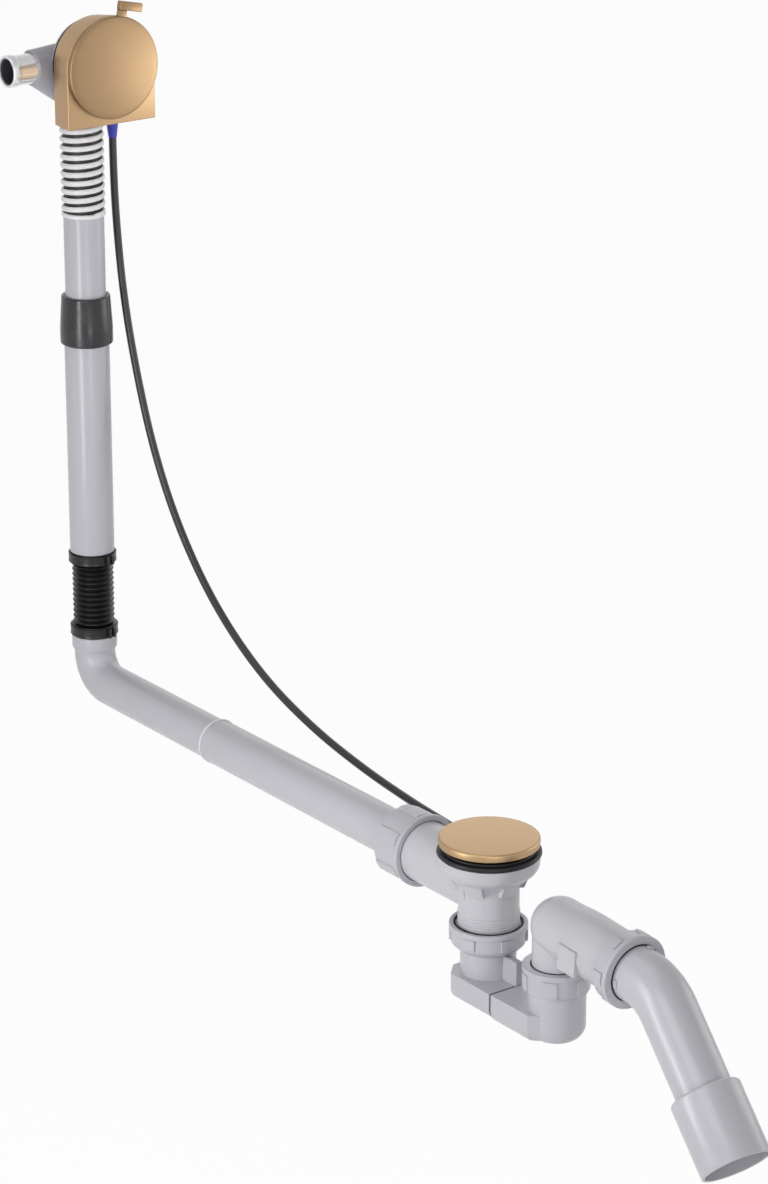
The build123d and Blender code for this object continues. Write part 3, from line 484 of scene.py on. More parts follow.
overflow_outline = [
    (overflow_bore, overflow_far, 0.2),
    (overflow_r, overflow_far, 0.2),
    (overflow_r, overflow_near, 0.5),
    (overflow_bore, overflow_near, 0.2),
]
pipe_grey = moulded(
    "pipe_grey", srgb(197, 196, 203), 0.28, mottle=0.006, uneven=0.004, relief=0.05,
)
overflow_run = put(turned(overflow_outline), on_drain)
finish_piece("overflow_run", overflow_run, pipe_grey, "root", "overflow_pipe")
# The rim ring's near-white colour is painted highlight, standing for light caught by the pipe's cut
# edge.
painted_edge_highlight = moulded("painted_edge_highlight", srgb(236, 235, 240), 0.4)
rim_outline = [
    (overflow_r, overflow_far, 0),
    (rim_r, overflow_far, 0.25),
    (rim_r, overflow_far + rim_long, 0.25),
    (overflow_r, overflow_far + rim_long, 0),
]
pipe_rim = put(turned(rim_outline), on_drain)
finish_piece("overflow_run_rim", pipe_rim, painted_edge_highlight, "root")

# Riser elbow
# A grey elbow turns the overflow pipe up to the riser. Its upper end swells into a socket bead
# under the spigot that the rubber bellows is clipped on.
riser_x = -509.0
elbow_r = 16.2
elbow_bore = 13.6
elbow_bend = 23.0
elbow_far = -337.0
elbow_mouth = -4.6
elbow_outline = [
    (13.9, 18.7, 0),
    (16.4, 18.7, 0.5),
    (16.4, 9.8, 0),
    (17.9, 9.8, 0.9),
    (17.9, -0.4, 1.4),
    (16.6, -2.6, 0.8),
    (elbow_r, elbow_mouth, 0),
]
same_place = 0.001


def ring_at(bm, height):
    """The edges of the free ring at a height."""
    return [edge for edge in bm.edges
            if all(abs(vert.co.z - height * mm) < same_place * mm for vert in edge.verts)]


def drawn_out(bm, edges, way):
    """Draw a free ring of edges out along a vector, and return the new ring."""
    made = bmesh.ops.extrude_edge_only(bm, edges=edges)["geom"]
    verts = [part for part in made if isinstance(part, bmesh.types.BMVert)]
    bmesh.ops.translate(bm, vec=way, verts=verts)
    fresh = set(verts)
    return [part for part in made if isinstance(part, bmesh.types.BMEdge) and set(part.verts) <= fresh]


def bent_on(bm, edges, centre, axis, degrees, steps):
    """Carry a free ring of edges round a bend, and return the new ring."""
    geom = list({vert for edge in edges for vert in edge.verts}) + edges
    made = bmesh.ops.spin(
        bm, geom=geom, cent=centre, axis=axis, dvec=(0, 0, 0), angle=math.radians(degrees),
        steps=steps, use_merge=False, use_duplicate=False,
    )
    return [part for part in made["geom_last"] if isinstance(part, bmesh.types.BMEdge)]


def walled(piece, thickness):
    """Give a modelled skin its wall, inwards."""
    wall = piece.modifiers.new("wall", "SOLIDIFY")
    wall.thickness = thickness * mm
    wall.offset = -1
    return piece


on_riser = shift(riser_x, 0, 0)
bm = put(turned(elbow_outline, closed=False), on_riser)
ring = ring_at(bm, elbow_mouth)
bend_top = drain_height + elbow_bend
ring = drawn_out(bm, ring, (0, 0, (bend_top - elbow_mouth) * mm))
bend_centre = ((riser_x + elbow_bend) * mm, 0, bend_top * mm)
ring = bent_on(bm, ring, bend_centre, (0, -1, 0), 90, steps=18)
drawn_out(bm, ring, ((elbow_far - riser_x - elbow_bend) * mm, 0, 0))
elbow = finish_piece("elbow_to_riser", bm, pipe_grey, "root", "riser_elbow")
walled(elbow, elbow_r - elbow_bore)

# Bellows and its clips
# A black rubber bellows lets the riser lean to suit the bath. Its cuffs are pushed over the
# spigots and held by two black nylon clips that snap shut at their ears.
bellows_low = 18.7
bellows_high = 70.6
bellows_wall = 1.2
bellows_ribs = 12
rib_r = 16.6
rib_at = 0.55
valley_r = 13.3
valley_at = 0.1
cuff_long = 8.9
cuff_r = 17.7
clip_bore = 17.8
clip_r = 19.1
clip_height = 7.4
clip_waist = 0.35
clip_lip = 1.6
clip_turn = 10.0
ear_size = (3.4, 2.5, clip_height)
ear_out = 1.0
ear_side = 2.2

bellows_outline = [(cuff_r, bellows_low - cuff_long + 0.1, 0.3), (cuff_r, bellows_low, 0.5)]
rib_pitch = (bellows_high - bellows_low) / bellows_ribs
for rib in range(bellows_ribs):
    rib_low = bellows_low + rib * rib_pitch
    bellows_outline.append((valley_r, rib_low + rib_pitch * valley_at, 0.3))
    bellows_outline.append((rib_r, rib_low + rib_pitch * rib_at, 0.45))
bellows_outline.append((valley_r, bellows_high, 0.4))
bellows_outline.append((cuff_r, bellows_high, 0.5))
bellows_outline.append((cuff_r, bellows_high + cuff_long, 0.3))
bellows_rubber = moulded(
    "bellows_rubber", srgb(13, 12, 14), 0.36, mottle=0.12, uneven=0.06, relief=0.2, shine=0.35,
)
bm = put(turned(bellows_outline, closed=False), on_riser)
bellows = finish_piece(
    "rubber_bellows", bm, bellows_rubber, "root", "bellows", crease=60,
)
walled(bellows, bellows_wall)


def block(size, edge, *moves):
    """A moulded block of three side lengths with eased edges."""
    bm = bmesh.new()
    bmesh.ops.create_cube(bm, size=1)
    bmesh.ops.scale(bm, vec=[side * mm for side in size], verts=bm.verts)
    bmesh.ops.bevel(
        bm, geom=bm.edges[:], offset=edge * mm, offset_type="OFFSET", segments=3, profile=0.5,
        affect="EDGES", material=-1,
    )
    return put(bm, *moves)


clip_nylon = moulded("clip_nylon", srgb(22, 21, 24), 0.34, mottle=0.08, shine=0.4)
for name, low in (("lower_clip", 10.55), ("upper_clip", 71.35)):
    high = low + clip_height
    band_outline = [
        (clip_bore, low, 0),
        (clip_r, low, 0.5),
        (clip_r - clip_waist, low + clip_lip, 0.3),
        (clip_r - clip_waist, high - clip_lip, 0.3),
        (clip_r, high, 0.5),
        (clip_bore, high, 0),
    ]
    band = put(turned(band_outline), on_riser)
    finish_piece(name + "_band", band, clip_nylon, "root", name)
    on_clip = shift(riser_x, 0, (low + high) / 2) @ turn(clip_turn, "Z")
    for word, side in (("near", -1), ("far", 1)):
        ear = block(ear_size, 0.5, on_clip, shift(clip_r + ear_out, side * ear_side, 0))
        finish_piece(f"{name}_{word}_ear", ear, clip_nylon, "root")

# Telescopic riser
# The lower pipe stands on the bellows, and the upper one slides in it to set the height. A black
# collar screwed on the lower pipe's mouth grips the sliding pipe.
lower_r = 17.5
lower_wall = 1.5
lower_low = 79.6
lower_high = 272.0
upper_r = 15.7
upper_wall = 1.8
upper_low = 170.0
upper_high = 351.0
collar_outline = [
    (17.6, 249.7, 0),
    (19.4, 249.7, 0.5),
    (20.5, 250.8, 0.5),
    (20.5, 262.6, 0.8),
    (18.9, 288.2, 0.9),
    (16.0, 288.2, 0.4),
    (16.0, 272.1, 0),
    (17.6, 272.1, 0),
]


def riser_pipe(radius, wall, low, high):
    """A length of extruded pipe in the riser, with its cut ends eased."""
    bore = radius - wall
    outline = [(bore, low, 0.25), (radius, low, 0.5), (radius, high, 0.5), (bore, high, 0.25)]
    return put(turned(outline), on_riser)


lower_tube = riser_pipe(lower_r, lower_wall, lower_low, lower_high)
finish_piece("lower_tube", lower_tube, pipe_grey, "root", "lower_pipe")
upper_tube = riser_pipe(upper_r, upper_wall, upper_low, upper_high)
finish_piece("upper_tube", upper_tube, pipe_grey, "head", "upper_pipe")
collar_nylon = moulded("collar_nylon", srgb(40, 38, 43), 0.28, mottle=0.12, uneven=0.08)
collar = put(turned(collar_outline), on_riser)
finish_piece("sliding_collar", collar, collar_nylon, "root", "slide_collar")

# Spiral hose
# A short flexible hose takes up the last of the height: a soft dark wall with a hard white spiral
# wound round it, which starts from a white ring on the pipe.
hose_r = 14.5
hose_wall = 2.0
hose_low = 351.1
hose_high = 437.0
spiral_pitch = 6.72
spiral_turns = 12
spiral_seat = hose_r + 0.1
spiral_half_wide = 2.1
spiral_half_proud = 1.15
spiral_sides = 16
end_ring_long = 3.4
hose_dark = moulded("hose_dark", srgb(18, 17, 20), 0.45, mottle=0.1)
hose_skin = [
    (hose_r - hose_wall, hose_low, 0),
    (hose_r, hose_low, 0.3),
    (hose_r, hose_high, 0.3),
    (hose_r - hose_wall, hose_high, 0),
]
hose_tube = put(turned(hose_skin), on_riser)
finish_piece("hose_tube", hose_tube, hose_dark, "head", "hose_wall")
spiral_white = moulded("spiral_white", srgb(243, 242, 244), 0.32)
section = []
for side in range(spiral_sides):
    angle = math.tau * side / spiral_sides
    radius = spiral_seat + spiral_half_proud * (1 + math.cos(angle))
    section.append((radius, spiral_half_wide * math.sin(angle)))
spiral = helix(section, spiral_turns, spiral_pitch)
spiral = put(spiral, on_riser, shift(0, 0, hose_low + spiral_half_wide))
finish_piece("white_spiral", spiral, spiral_white, "head", "hose_spiral")
end_ring_r = spiral_seat + spiral_half_proud * 2
end_ring_outline = [
    (spiral_seat, hose_low, 0),
    (end_ring_r, hose_low, 0.9),
    (end_ring_r, hose_low + end_ring_long, 0.9),
    (spiral_seat, hose_low + end_ring_long, 0),
]
end_ring = put(turned(end_ring_outline), on_riser)
finish_piece("hose_end_ring", end_ring, spiral_white, "head")

# Overflow body and inlet nipple
# A satin grey casting behind the bath wall carries the filler's inlet, the spigot for the hose and
# the cable's arm. A polished chrome nipple is screwed into its inlet, and a dark grey sleeve in its
# bore is painted shade for the inside of the bore.
inlet_height = 471.0
nipple_outline = [
    (10.2, 30.1, 0),
    (11.6, 30.1, 0),
    (11.6, 58.6, 0.3),
    (12.3, 59.0, 0.4),
    (12.3, 65.0, 0.7),
    (10.2, 65.0, 0.5),
]
bore_shade_outline = [
    (9.2, 32.0, 0),
    (10.15, 32.0, 0),
    (10.15, 63.9, 0.2),
    (9.2, 63.9, 0.3),
]
cast_grey = moulded("cast_grey", srgb(168, 167, 175), 0.30, mottle=0.04, relief=0.3)
dress(cast_grey, "overflow_body")
along_inlet = shift(riser_x, 0, inlet_height) @ turn(90, "X")
bright_chrome = metal("bright_chrome", srgb(232, 232, 235), 0.14, metallic=0.65)
nipple = put(turned(nipple_outline), along_inlet)
finish_piece("chrome_nipple", nipple, bright_chrome, "head", "inlet_nipple")
# The sleeve's dark grey is painted shade, standing for the shadow inside the nipple's bore.
bore_shade_grey = moulded("bore_shade_grey", srgb(58, 57, 62), 0.4, mottle=0.06)
bore_shade = put(turned(bore_shade_outline, around=turn_steps), along_inlet)
finish_piece("nipple_bore_shade", bore_shade, bore_shade_grey, "head")

# Overflow seal and clamp ring
# The rubber seal presses on the back of the bath wall, and a notched brass ring inside the bath
# pulls the body against it.
control_height = 474.0
seal_outline = [
    (25.1, -494.5, 0),
    (33.5, -494.5, 0.8),
    (33.5, -489.5, 0.8),
    (25.1, -489.5, 0),
]
on_control = laid_x(control_height)
wall_seal = put(turned(seal_outline), on_control)
finish_piece("wall_seal", wall_seal, seal_rubber, "head", "overflow_seal")
dress(turned_brass, "clamp_ring")

# Overflow cover and its screws
# A bronze-finished cover, round above and square below, hides the ring. It is a cast shell, brushed
# across, with a slot in its foot that lets the water in.
cover_back = -489.2
cover_front = -465.2
cover_half = 39.0
cover_back_half = 35.5
cover_drop = 44.0
cover_foot = control_height - cover_drop
cover_edge = 0.9
cover_wall = 2.4
slot_half_wide = 28.0
slot_half_deep = 6.0
slot_set_back = 1.2
arch_steps = 48
nearby = 1.0

bm = bmesh.new()
start = bm.verts.new((cover_front * mm, cover_half * mm, control_height * mm))
arch = bmesh.ops.spin(
    bm, geom=[start], cent=(cover_front * mm, 0, control_height * mm), axis=(1, 0, 0),
    dvec=(0, 0, 0), angle=math.pi, steps=arch_steps, use_merge=False, use_duplicate=False,
)
end = [part for part in arch["geom_last"] if isinstance(part, bmesh.types.BMVert)][0]
right_foot = bm.verts.new((cover_front * mm, cover_half * mm, cover_foot * mm))
left_foot = bm.verts.new((cover_front * mm, -cover_half * mm, cover_foot * mm))
for first, second in ((start, right_foot), (right_foot, left_foot), (left_foot, end)):
    bm.edges.new((first, second))
front = bmesh.ops.contextual_create(bm, geom=bm.edges[:])["faces"]
made = bmesh.ops.extrude_face_region(bm, geom=front)["geom"]
back = [part for part in made if isinstance(part, bmesh.types.BMVert)]
taper = cover_back_half / cover_half
bmesh.ops.scale(bm, vec=(1, taper, taper), space=shift(0, 0, -control_height), verts=back)
bmesh.ops.translate(bm, vec=((cover_back - cover_front) * mm, 0, 0), verts=back)
for vert in back:
    if vert.co.z < (control_height - cover_drop * taper + nearby) * mm:
        vert.co.z = cover_foot * mm


def all_at_x(part, x):
    """Whether every corner of a face or an edge lies at one X."""
    return all(abs(vert.co.x - x * mm) < same_place * mm for vert in part.verts)


def foot_faces(bm):
    """The level faces of the cover's foot."""
    found = []
    for face in bm.faces:
        if abs(face.normal.z) > 0.99 and face.calc_center_median().z < (cover_foot + nearby) * mm:
            found.append(face)
    return found


bmesh.ops.delete(bm, geom=[face for face in bm.faces if all_at_x(face, cover_back)], context="FACES")
eased = [edge for edge in bm.edges if all_at_x(edge, cover_front)]
for edge in bm.edges:
    runs_back = abs(edge.verts[0].co.x - edge.verts[1].co.x) > nearby * mm
    if runs_back and all(vert.co.z < (cover_foot + 0.01) * mm for vert in edge.verts):
        eased.append(edge)
bmesh.ops.bevel(
    bm, geom=eased, offset=cover_edge * mm, offset_type="OFFSET", segments=4, profile=0.5,
    affect="EDGES", material=-1,
)
slot_x = (cover_back + cover_front) / 2 - slot_set_back
for point, normal in (
    ((0, slot_half_wide, 0), (0, 1, 0)),
    ((0, -slot_half_wide, 0), (0, 1, 0)),
    ((slot_x - slot_half_deep, 0, 0), (1, 0, 0)),
    ((slot_x + slot_half_deep, 0, 0), (1, 0, 0)),
):
    foot = foot_faces(bm)
    geom = list({part for face in foot for part in (*face.verts, *face.edges)}) + foot
    plane_at = [c * mm for c in point]
    bmesh.ops.bisect_plane(bm, geom=geom, dist=1e-7, plane_co=plane_at, plane_no=normal)
slot_middle = Vector((slot_x * mm, 0, cover_foot * mm))
slot_faces = []
for face in foot_faces(bm):
    if (face.calc_center_median() - slot_middle).length < nearby * mm:
        slot_faces.append(face)
bmesh.ops.delete(bm, geom=slot_faces, context="FACES")
cover_bronze = brushed("cover_bronze", srgb(180, 150, 115), 0.42)
cover = finish_piece(
    "bath_side_cover", bm, cover_bronze, "head", "overflow_cover", crease=30,
)
walled(cover, cover_wall)
dress(plain_steel, "cover_screws")

# Control disc and finger lever
# Turning the disc winds the cable's core on a drum. The disc is turned bronze-finished brass with
# a faint crown, and a small square lever stands on its rim for the finger.
disc_r = 39.0
disc_back = -464.7
disc_front = -459.5
disc_dome = 0.6
disc_edge = 1.4
hub_r = 7.0
hub_back = -467.2
lever_turn = 12.0
stem_size = (3.0, 7.6, 7.5)
stem_out = 0.75
bar_size = (5.0, 20.0, 6.6)
bar_out = 7.8
bar_side = 6.2
disc_outline = domed(disc_r, disc_edge, disc_front, disc_dome)
disc_outline += [
    (disc_r, disc_front - disc_dome - 0.2, 1.0),
    (disc_r, disc_back, 0.6),
    (hub_r, disc_back, 0),
    (hub_r, hub_back, 0),
    (0, hub_back, 0),
]
# The disc and lever bronze is set darker than the cover's and cap's: painted shade for the disc's dim
# side, while the disc lamp lights its other side.
disc_bronze_painted_shade = brushed("disc_bronze_painted_shade", srgb(147, 122, 92), 0.38)
disc = put(turned(disc_outline, closed=False, around=round_steps), on_control)
finish_piece("turning_disc", disc, disc_bronze_painted_shade, "knob", "control_disc")
on_lever = shift((disc_back + disc_front) / 2, 0, control_height) @ turn(-lever_turn, "X")
lever_stem = block(stem_size, 0.4, on_lever, shift(0, 0, disc_r + stem_out))
finish_piece("lever_stem", lever_stem, disc_bronze_painted_shade, "knob", "finger_lever")
lever_bar = block(bar_size, 0.7, on_lever, shift(0, bar_side, disc_r + bar_out))
finish_piece("lever_bar", lever_bar, disc_bronze_painted_shade, "knob")
dress(turned_brass, "control_spindle", "cable_drum")
dress(plain_steel, "spindle_clip")

# Control cable and its gland at the overflow
# A black plastic sheath with a steel core runs down from a blue gland under the cover to the waste.
# It hangs in one loose bend between its two fixed ends.
gland_side = 28.0
cable_r = 3.0
cable_route = [
    (-509, 28, 408),
    (-509, 28, 375),
    (-508.5, 30, 330),
    (-503, 31, 282),
    (-491, 32.5, 228),
    (-470, 34, 165),
    (-439, 36, 108),
    (-395, 38.5, 57),
    (-338, 41, 17.5),
    (-275, 43, -6),
    (-211, 45, -20),
    (-150, 46, -27.5),
    (-112, 46, -29.8),
    (-88, 44.5, -30.2),
    (-68.85, 39.75, -30),
    (-55.43, 32, -30),
]
gland_outline = [
    (1.7, 408, 0),
    (3.2, 408, 0.3),
    (4.6, 419, 0.6),
    (4.6, 430, 0.3),
    (1.7, 430, 0),
]
gland_blue = moulded("gland_blue", srgb(70, 72, 196), 0.38, mottle=0.06)
gland = put(turned(gland_outline, around=48), shift(riser_x, gland_side, 0))
finish_piece("blue_gland", gland, gland_blue, "head", "head_gland")

route = bpy.data.curves.new("cable_route", "CURVE")
route.dimensions = "3D"
spline = route.splines.new("NURBS")
spline.points.add(len(cable_route) - 1)
for point, (x, y, z) in zip(spline.points, cable_route):
    point.co = (x * mm, y * mm, z * mm, 1)
spline.order_u = 3
spline.use_endpoint_u = True
spline.resolution_u = 12
line = bpy.data.objects.new("cable_line", route)
bpy.context.scene.collection.objects.link(line)
centre_line = bpy.data.meshes.new_from_object(line)
route.bevel_depth = cable_r * mm
route.bevel_resolution = 5
route.use_fill_caps = True
bpy.context.view_layer.update()
drawn_line = line.evaluated_get(bpy.context.evaluated_depsgraph_get())
sheath = bpy.data.meshes.new_from_object(drawn_line)
sheath.name = "cable_sheath"
for polygon in sheath.polygons:
    polygon.use_smooth = True
cable_black = moulded("cable_black", srgb(44, 43, 48), 0.36, mottle=0.06)
sheath.materials.clear()
sheath.materials.append(cable_black)
cable = bpy.data.objects.new("cable_sheath", sheath)
bpy.context.scene.collection.objects.link(cable)
bpy.data.objects.remove(line)
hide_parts("control_cable")
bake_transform(cable)

# Trap
# The flat trap is moulded in two grey halves welded at a seam. Ribbed nuts hold it to the waste's neck
# and seal its leg round the elbow, so that both can swivel, and black seal lips show inside them.
leg_x = 77.0
inlet_nut_low = -74.0
inlet_nut_turn = -9
trap_nut_top = -60.0
trap_nut_turn = 9
duct_half_wide = 25.4
duct_top = -93.1
duct_low = -114.1
duct_rounding = 9.0
seam_x = 33.2
seam_wide = 2.1
seam_thick = 0.3
inlet_nut = union_nut(length=18.0, thread_r=24.9, pipe_r=20.3, wall=2.0, ring_on_mouth=True)
inlet_nut = put(inlet_nut, shift(0, 0, inlet_nut_low), turn(inlet_nut_turn, "Z"))
finish_piece("inlet_union_nut", inlet_nut, nut_grey, "root", "inlet_nut")
trap_grey = moulded("trap_grey", srgb(193, 192, 199), 0.30, mottle=0.025, relief=0.18)
dress(seal_rubber, "inlet_seal", "trap_seal")
dress(trap_grey, "trap_inlet_half", "trap_outlet_half")


def seal_lip(inner, outer, low, high):
    """The lip of a rubber seal where it shows between a nut and the pipe in it."""
    return turned([(inner, low, 0), (outer, low, 0), (outer, high, 0.25), (inner, high, 0.25)])


inlet_lip = seal_lip(inner=23.3, outer=24.8, low=-57.1, high=-55.8)
finish_piece("inlet_seal_lip", inlet_lip, seal_rubber, "root")
trap_lip = seal_lip(inner=17.85, outer=18.75, low=-61.6, high=-59.7)
finish_piece("trap_seal_lip", put(trap_lip, shift(leg_x, 0, 0)), seal_rubber, "trap")
# A dark grey band laid round the duct at the seam is painted shadow, standing for the shade in the
# step between the two halves.
seam_shadow_grey = moulded("seam_shadow_grey", srgb(92, 91, 97), 0.5)
bm = bmesh.new()
corners = []
for side, height in ((-1, duct_top), (-1, duct_low), (1, duct_low), (1, duct_top)):
    corners.append(bm.verts.new((seam_x * mm, side * duct_half_wide * mm, height * mm)))
for first, second in zip(corners, corners[1:] + corners[:1]):
    bm.edges.new((first, second))
bmesh.ops.bevel(
    bm, geom=corners[1:3], offset=duct_rounding * mm, offset_type="OFFSET", segments=8,
    profile=0.5, affect="VERTICES", material=-1,
)
drawn_out(bm, bm.edges[:], (seam_wide * mm, 0, 0))
seam_shadow_band = finish_piece("trap_seam_shadow_band", bm, seam_shadow_grey, "trap")
walled(seam_shadow_band, seam_thick)
trap_nut = union_nut(length=17.0, thread_r=20.6, pipe_r=18.8, wall=nut_wall, ring_on_mouth=False)
on_leg = shift(leg_x, 0, trap_nut_top)
trap_nut = put(trap_nut, on_leg, turn(trap_nut_turn, "Z"), turn(180, "X"))
finish_piece("trap_union_nut", trap_nut, nut_grey, "trap", "trap_nut")

# Outlet elbow and its nut
# The elbow rises out of the trap and turns to the drain. Its long socket is threaded for the last
# union nut, which seals on the bend that swivels in it.
limb_height = -30.2
limb_fall = 4.0
outlet_nut_face = 160.0
outlet_nut_turn = 30
on_limb = shift(leg_x, 0, limb_height) @ turn(limb_fall, "Y") @ shift(-leg_x, 0, 0)
along_limb = on_limb @ laid_x(0)
dress(body_grey, "outlet_elbow")
outlet_nut = union_nut(length=14.0, thread_r=22.8, pipe_r=21.0, wall=nut_wall, ring_on_mouth=False)
on_face = along_limb @ shift(0, 0, outlet_nut_face)
outlet_nut = put(outlet_nut, on_face, turn(outlet_nut_turn, "Z"), turn(180, "X"))
finish_piece("outlet_union_nut", outlet_nut, nut_grey, "elbow", "outlet_nut")
dress(seal_rubber, "outlet_seal")
outlet_lip = seal_lip(inner=20.05, outer=20.95, low=158.4, high=160.3)
finish_piece("outlet_seal_lip", put(outlet_lip, along_limb), seal_rubber, "elbow")

# Outlet bend and sleeve
# The last bend drops to the floor's drain and carries a slip-on sleeve that widens it to the
# drain's size. Its end stays open.
bend_r = 20.0
bend_wall = 2.4
bend_start = 130.0
bend_corner = 185.0
bend_radius = 46.0
bend_angle = 41.0
bend_tail = 104.5
outlet_turn = 6.0
lug_count = 3
lug_size = (2.6, 6.0, 2.4)
lug_x = 163.3
lug_turn = 99
sleeve_outline = [
    (20.1, 76.5, 0.2),
    (23.4, 76.5, 0.5),
    (25.0, 78.1, 0.7),
    (25.0, 130.5, 0.6),
    (22.8, 130.5, 0.5),
    (22.8, 106.6, 0),
    (17.6, 106.6, 0),
    (17.6, 104.6, 0),
    (20.1, 104.6, 0),
]
on_outlet = on_limb @ turn(-outlet_turn, "X")
tangent = bend_radius * math.tan(math.radians(bend_angle / 2))
bm = bmesh.new()
bmesh.ops.create_circle(
    bm, cap_ends=False, radius=bend_r * mm, segments=96,
    matrix=shift(bend_start, 0, 0) @ turn(90, "Y"),
)
ring = drawn_out(bm, bm.edges[:], ((bend_corner - tangent - bend_start) * mm, 0, 0))
bend_centre = ((bend_corner - tangent) * mm, 0, -bend_radius * mm)
ring = bent_on(bm, ring, bend_centre, (0, 1, 0), bend_angle, steps=20)
tail_long = (bend_tail - tangent) * mm
slope = math.radians(bend_angle)
drawn_out(bm, ring, (tail_long * math.cos(slope), 0, -tail_long * math.sin(slope)))
drain_bend = put(bm, on_outlet)
drain_bend = finish_piece("drain_bend", drain_bend, pipe_grey, "outlet", "outlet_bend")
walled(drain_bend, bend_wall)
for spot in range(lug_count):
    round_bend = turn(lug_turn + 360 / lug_count * spot, "X")
    bend_lug = block(lug_size, 0.4, on_outlet, round_bend, shift(lug_x, 0, bend_r))
    finish_piece(f"bend_lug_{spot + 1}", bend_lug, pipe_grey, "outlet")
on_tail = on_outlet @ shift(bend_corner, 0, 0) @ turn(90 + bend_angle, "Y")
sleeve = put(turned(sleeve_outline), on_tail)
finish_piece("drain_sleeve", sleeve, pipe_grey, "outlet", "reducer_sleeve")

# Studio
# A pale floor well below the part, a white surround, a strip lamp on the left and soft boxes round it,
# with small ones for the outlet and the disc. The camera stands where the photographer stood.
floor_drop = 0.22
floor_half = 30.0
floor_tint = (0.88, 0.88, 0.885, 1)
floor_white = 0.96
floor_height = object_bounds()[0].z - floor_drop
bm = bmesh.new()
bmesh.ops.create_grid(
    bm, x_segments=1, y_segments=1, size=floor_half, matrix=Matrix.Translation((0, 0, floor_height)),
)
floor_mesh = bpy.data.meshes.new("floor")
bm.to_mesh(floor_mesh)
bm.free()
floor = bpy.data.objects.new("floor", floor_mesh)
bpy.context.scene.collection.objects.link(floor)


def seen_or_mirrored(tree, share):
    """A factor that is a share for camera, glossy and transmission rays, and 0 for other light."""
    rays = tree.nodes.new("ShaderNodeLightPath")
    total = rays.outputs["Is Camera Ray"]
    for ray in ("Is Glossy Ray", "Is Transmission Ray"):
        most = tree.nodes.new("ShaderNodeMath")
        most.operation = "MAXIMUM"
        tree.links.new(total, most.inputs[0])
        tree.links.new(rays.outputs[ray], most.inputs[1])
        total = most.outputs[0]
    part = tree.nodes.new("ShaderNodeMath")
    part.operation = "MULTIPLY"
    part.inputs[1].default_value = share
    tree.links.new(total, part.inputs[0])
    return part.outputs[0]


floor_paint = bpy.data.materials.new("floor_paint")
floor_paint.use_nodes = True
tree = floor_paint.node_tree
surface = tree.nodes["Material Output"].inputs["Surface"]
paint = tree.nodes["Principled BSDF"]
paint.inputs["Base Color"].default_value = floor_tint
paint.inputs["Roughness"].default_value = 0.9
paint.inputs["Specular IOR Level"].default_value = 0.1
glow = tree.nodes.new("ShaderNodeEmission")
bright = tree.nodes.new("ShaderNodeMixShader")
tree.links.new(seen_or_mirrored(tree, floor_white), bright.inputs["Fac"])
tree.links.new(paint.outputs[0], bright.inputs[1])
tree.links.new(glow.outputs[0], bright.inputs[2])
under = tree.nodes.new("ShaderNodeMixShader")
tree.links.new(tree.nodes.new("ShaderNodeNewGeometry").outputs["Backfacing"], under.inputs["Fac"])
tree.links.new(bright.outputs[0], under.inputs[1])
tree.links.new(tree.nodes.new("ShaderNodeBsdfTransparent").outputs[0], under.inputs[2])
tree.links.new(under.outputs[0], surface)
floor_mesh.materials.append(floor_paint)

walls_light = 0.30
ceiling_from = 0.35
ceiling_full = 0.95
ceiling_share = 0.55
world = bpy.data.worlds.new("surround")
bpy.context.scene.world = world
world.use_nodes = True
tree = world.node_tree
aim = tree.nodes.new("ShaderNodeSeparateXYZ")
tree.links.new(tree.nodes.new("ShaderNodeTexCoord").outputs["Generated"], aim.inputs[0])
dim = tree.nodes.new("ShaderNodeMapRange")
dim.inputs["From Min"].default_value = ceiling_from
dim.inputs["From Max"].default_value = ceiling_full
dim.inputs["To Min"].default_value = 1
dim.inputs["To Max"].default_value = ceiling_share
tree.links.new(aim.outputs["Z"], dim.inputs["Value"])
soft = tree.nodes["Background"]
white = tree.nodes.new("ShaderNodeBackground")
for light, strength in ((soft, walls_light), (white, 1)):
    level = tree.nodes.new("ShaderNodeMath")
    level.operation = "MULTIPLY"
    level.inputs[1].default_value = strength
    tree.links.new(dim.outputs["Result"], level.inputs[0])
    light.inputs["Color"].default_value = (1, 1, 1, 1)
    tree.links.new(level.outputs[0], light.inputs["Strength"])
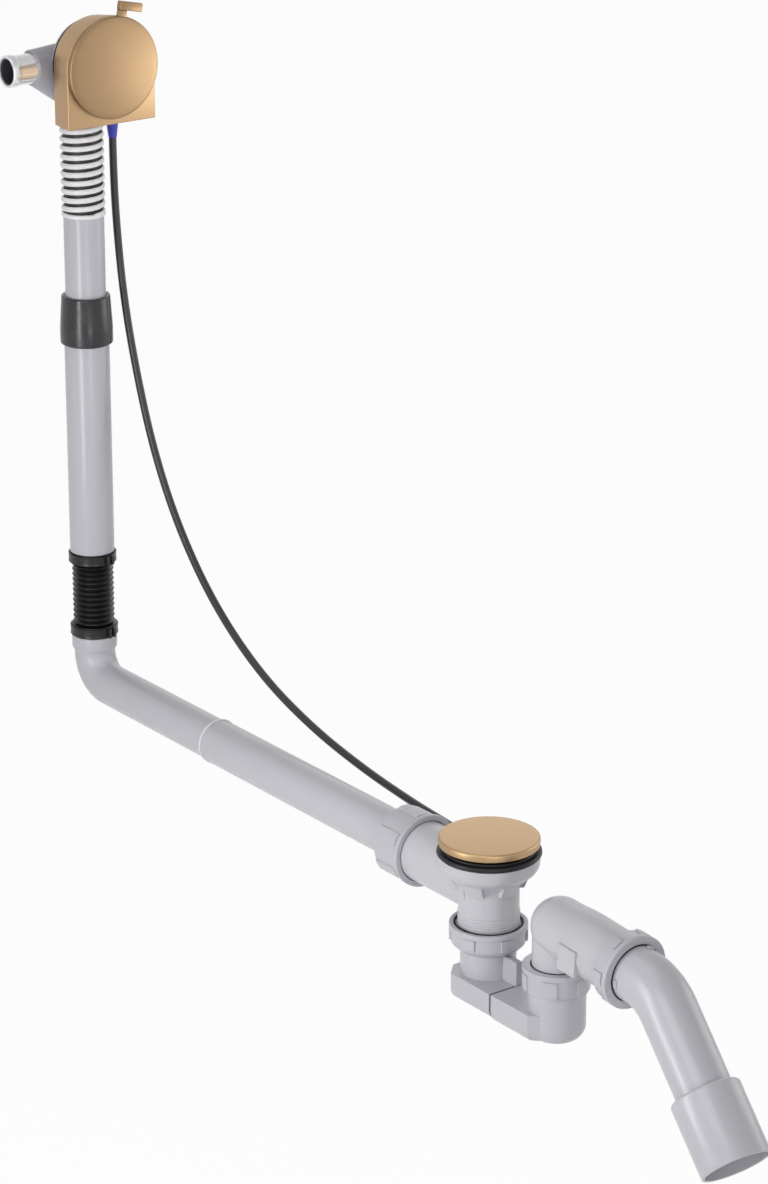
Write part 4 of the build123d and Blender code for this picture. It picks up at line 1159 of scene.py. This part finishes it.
choice = tree.nodes.new("ShaderNodeMixShader")
tree.links.new(seen_or_mirrored(tree, 1), choice.inputs["Fac"])
tree.links.new(soft.outputs[0], choice.inputs[1])
tree.links.new(white.outputs[0], choice.inputs[2])
tree.links.new(choice.outputs[0], tree.nodes["World Output"].inputs["Surface"])

part_middle = Vector((-0.15, 0, 0.18))
disc_middle = Vector((disc_front * mm, 0, control_height * mm))
outlet_middle = Vector((bend_corner * mm, 0, -0.06))
for name, place, aim_at, wide, tall, watts in (
    ("left_strip", (-0.10, -0.85, 0.15), part_middle, 0.16, 0.7, 3.6),
    ("front_box", (0.55, -0.75, 0.75), part_middle, 0.6, 0.6, 2.8),
    ("outlet_box", (0.95, -0.45, 0.0), outlet_middle, 0.35, 0.35, 1.5),
    ("top_box", (-0.4, -0.2, 1.6), part_middle, 0.9, 0.9, 3.5),
    ("right_box", (0.32, 1.26, 0.3), part_middle, 0.7, 0.7, 3.0),
    ("back_box", (-0.9, 0.75, 0.5), part_middle, 0.7, 0.7, 0.9),
    ("disc_box", (-0.30, 0.17, 0.42), disc_middle, 0.07, 0.07, 0.085),
):
    lamp = bpy.data.lights.new(name, "AREA")
    lamp.shape = "RECTANGLE"
    lamp.size = wide
    lamp.size_y = tall
    lamp.energy = watts
    box = bpy.data.objects.new(name, lamp)
    box.location = place
    box.rotation_mode = "QUATERNION"
    box.rotation_quaternion = (aim_at - Vector(place)).to_track_quat("-Z", "Y")
    box.visible_camera = False
    bpy.context.scene.collection.objects.link(box)

camera_place = (2.02177, -1.59900, 1.11817)
camera_looks = -Vector((0.7544, -0.5623, 0.3387)).normalized()
lens = bpy.data.cameras.new("camera")
lens.sensor_width = 36
lens.lens = 121.62
lens.clip_end = 100
camera = bpy.data.objects.new("camera", lens)
camera.location = camera_place
camera.rotation_mode = "QUATERNION"
camera.rotation_quaternion = camera_looks.to_track_quat("-Z", "Y")
bpy.context.scene.collection.objects.link(camera)
bpy.context.scene.camera = camera
bpy.context.scene.view_settings.view_transform = "Standard"
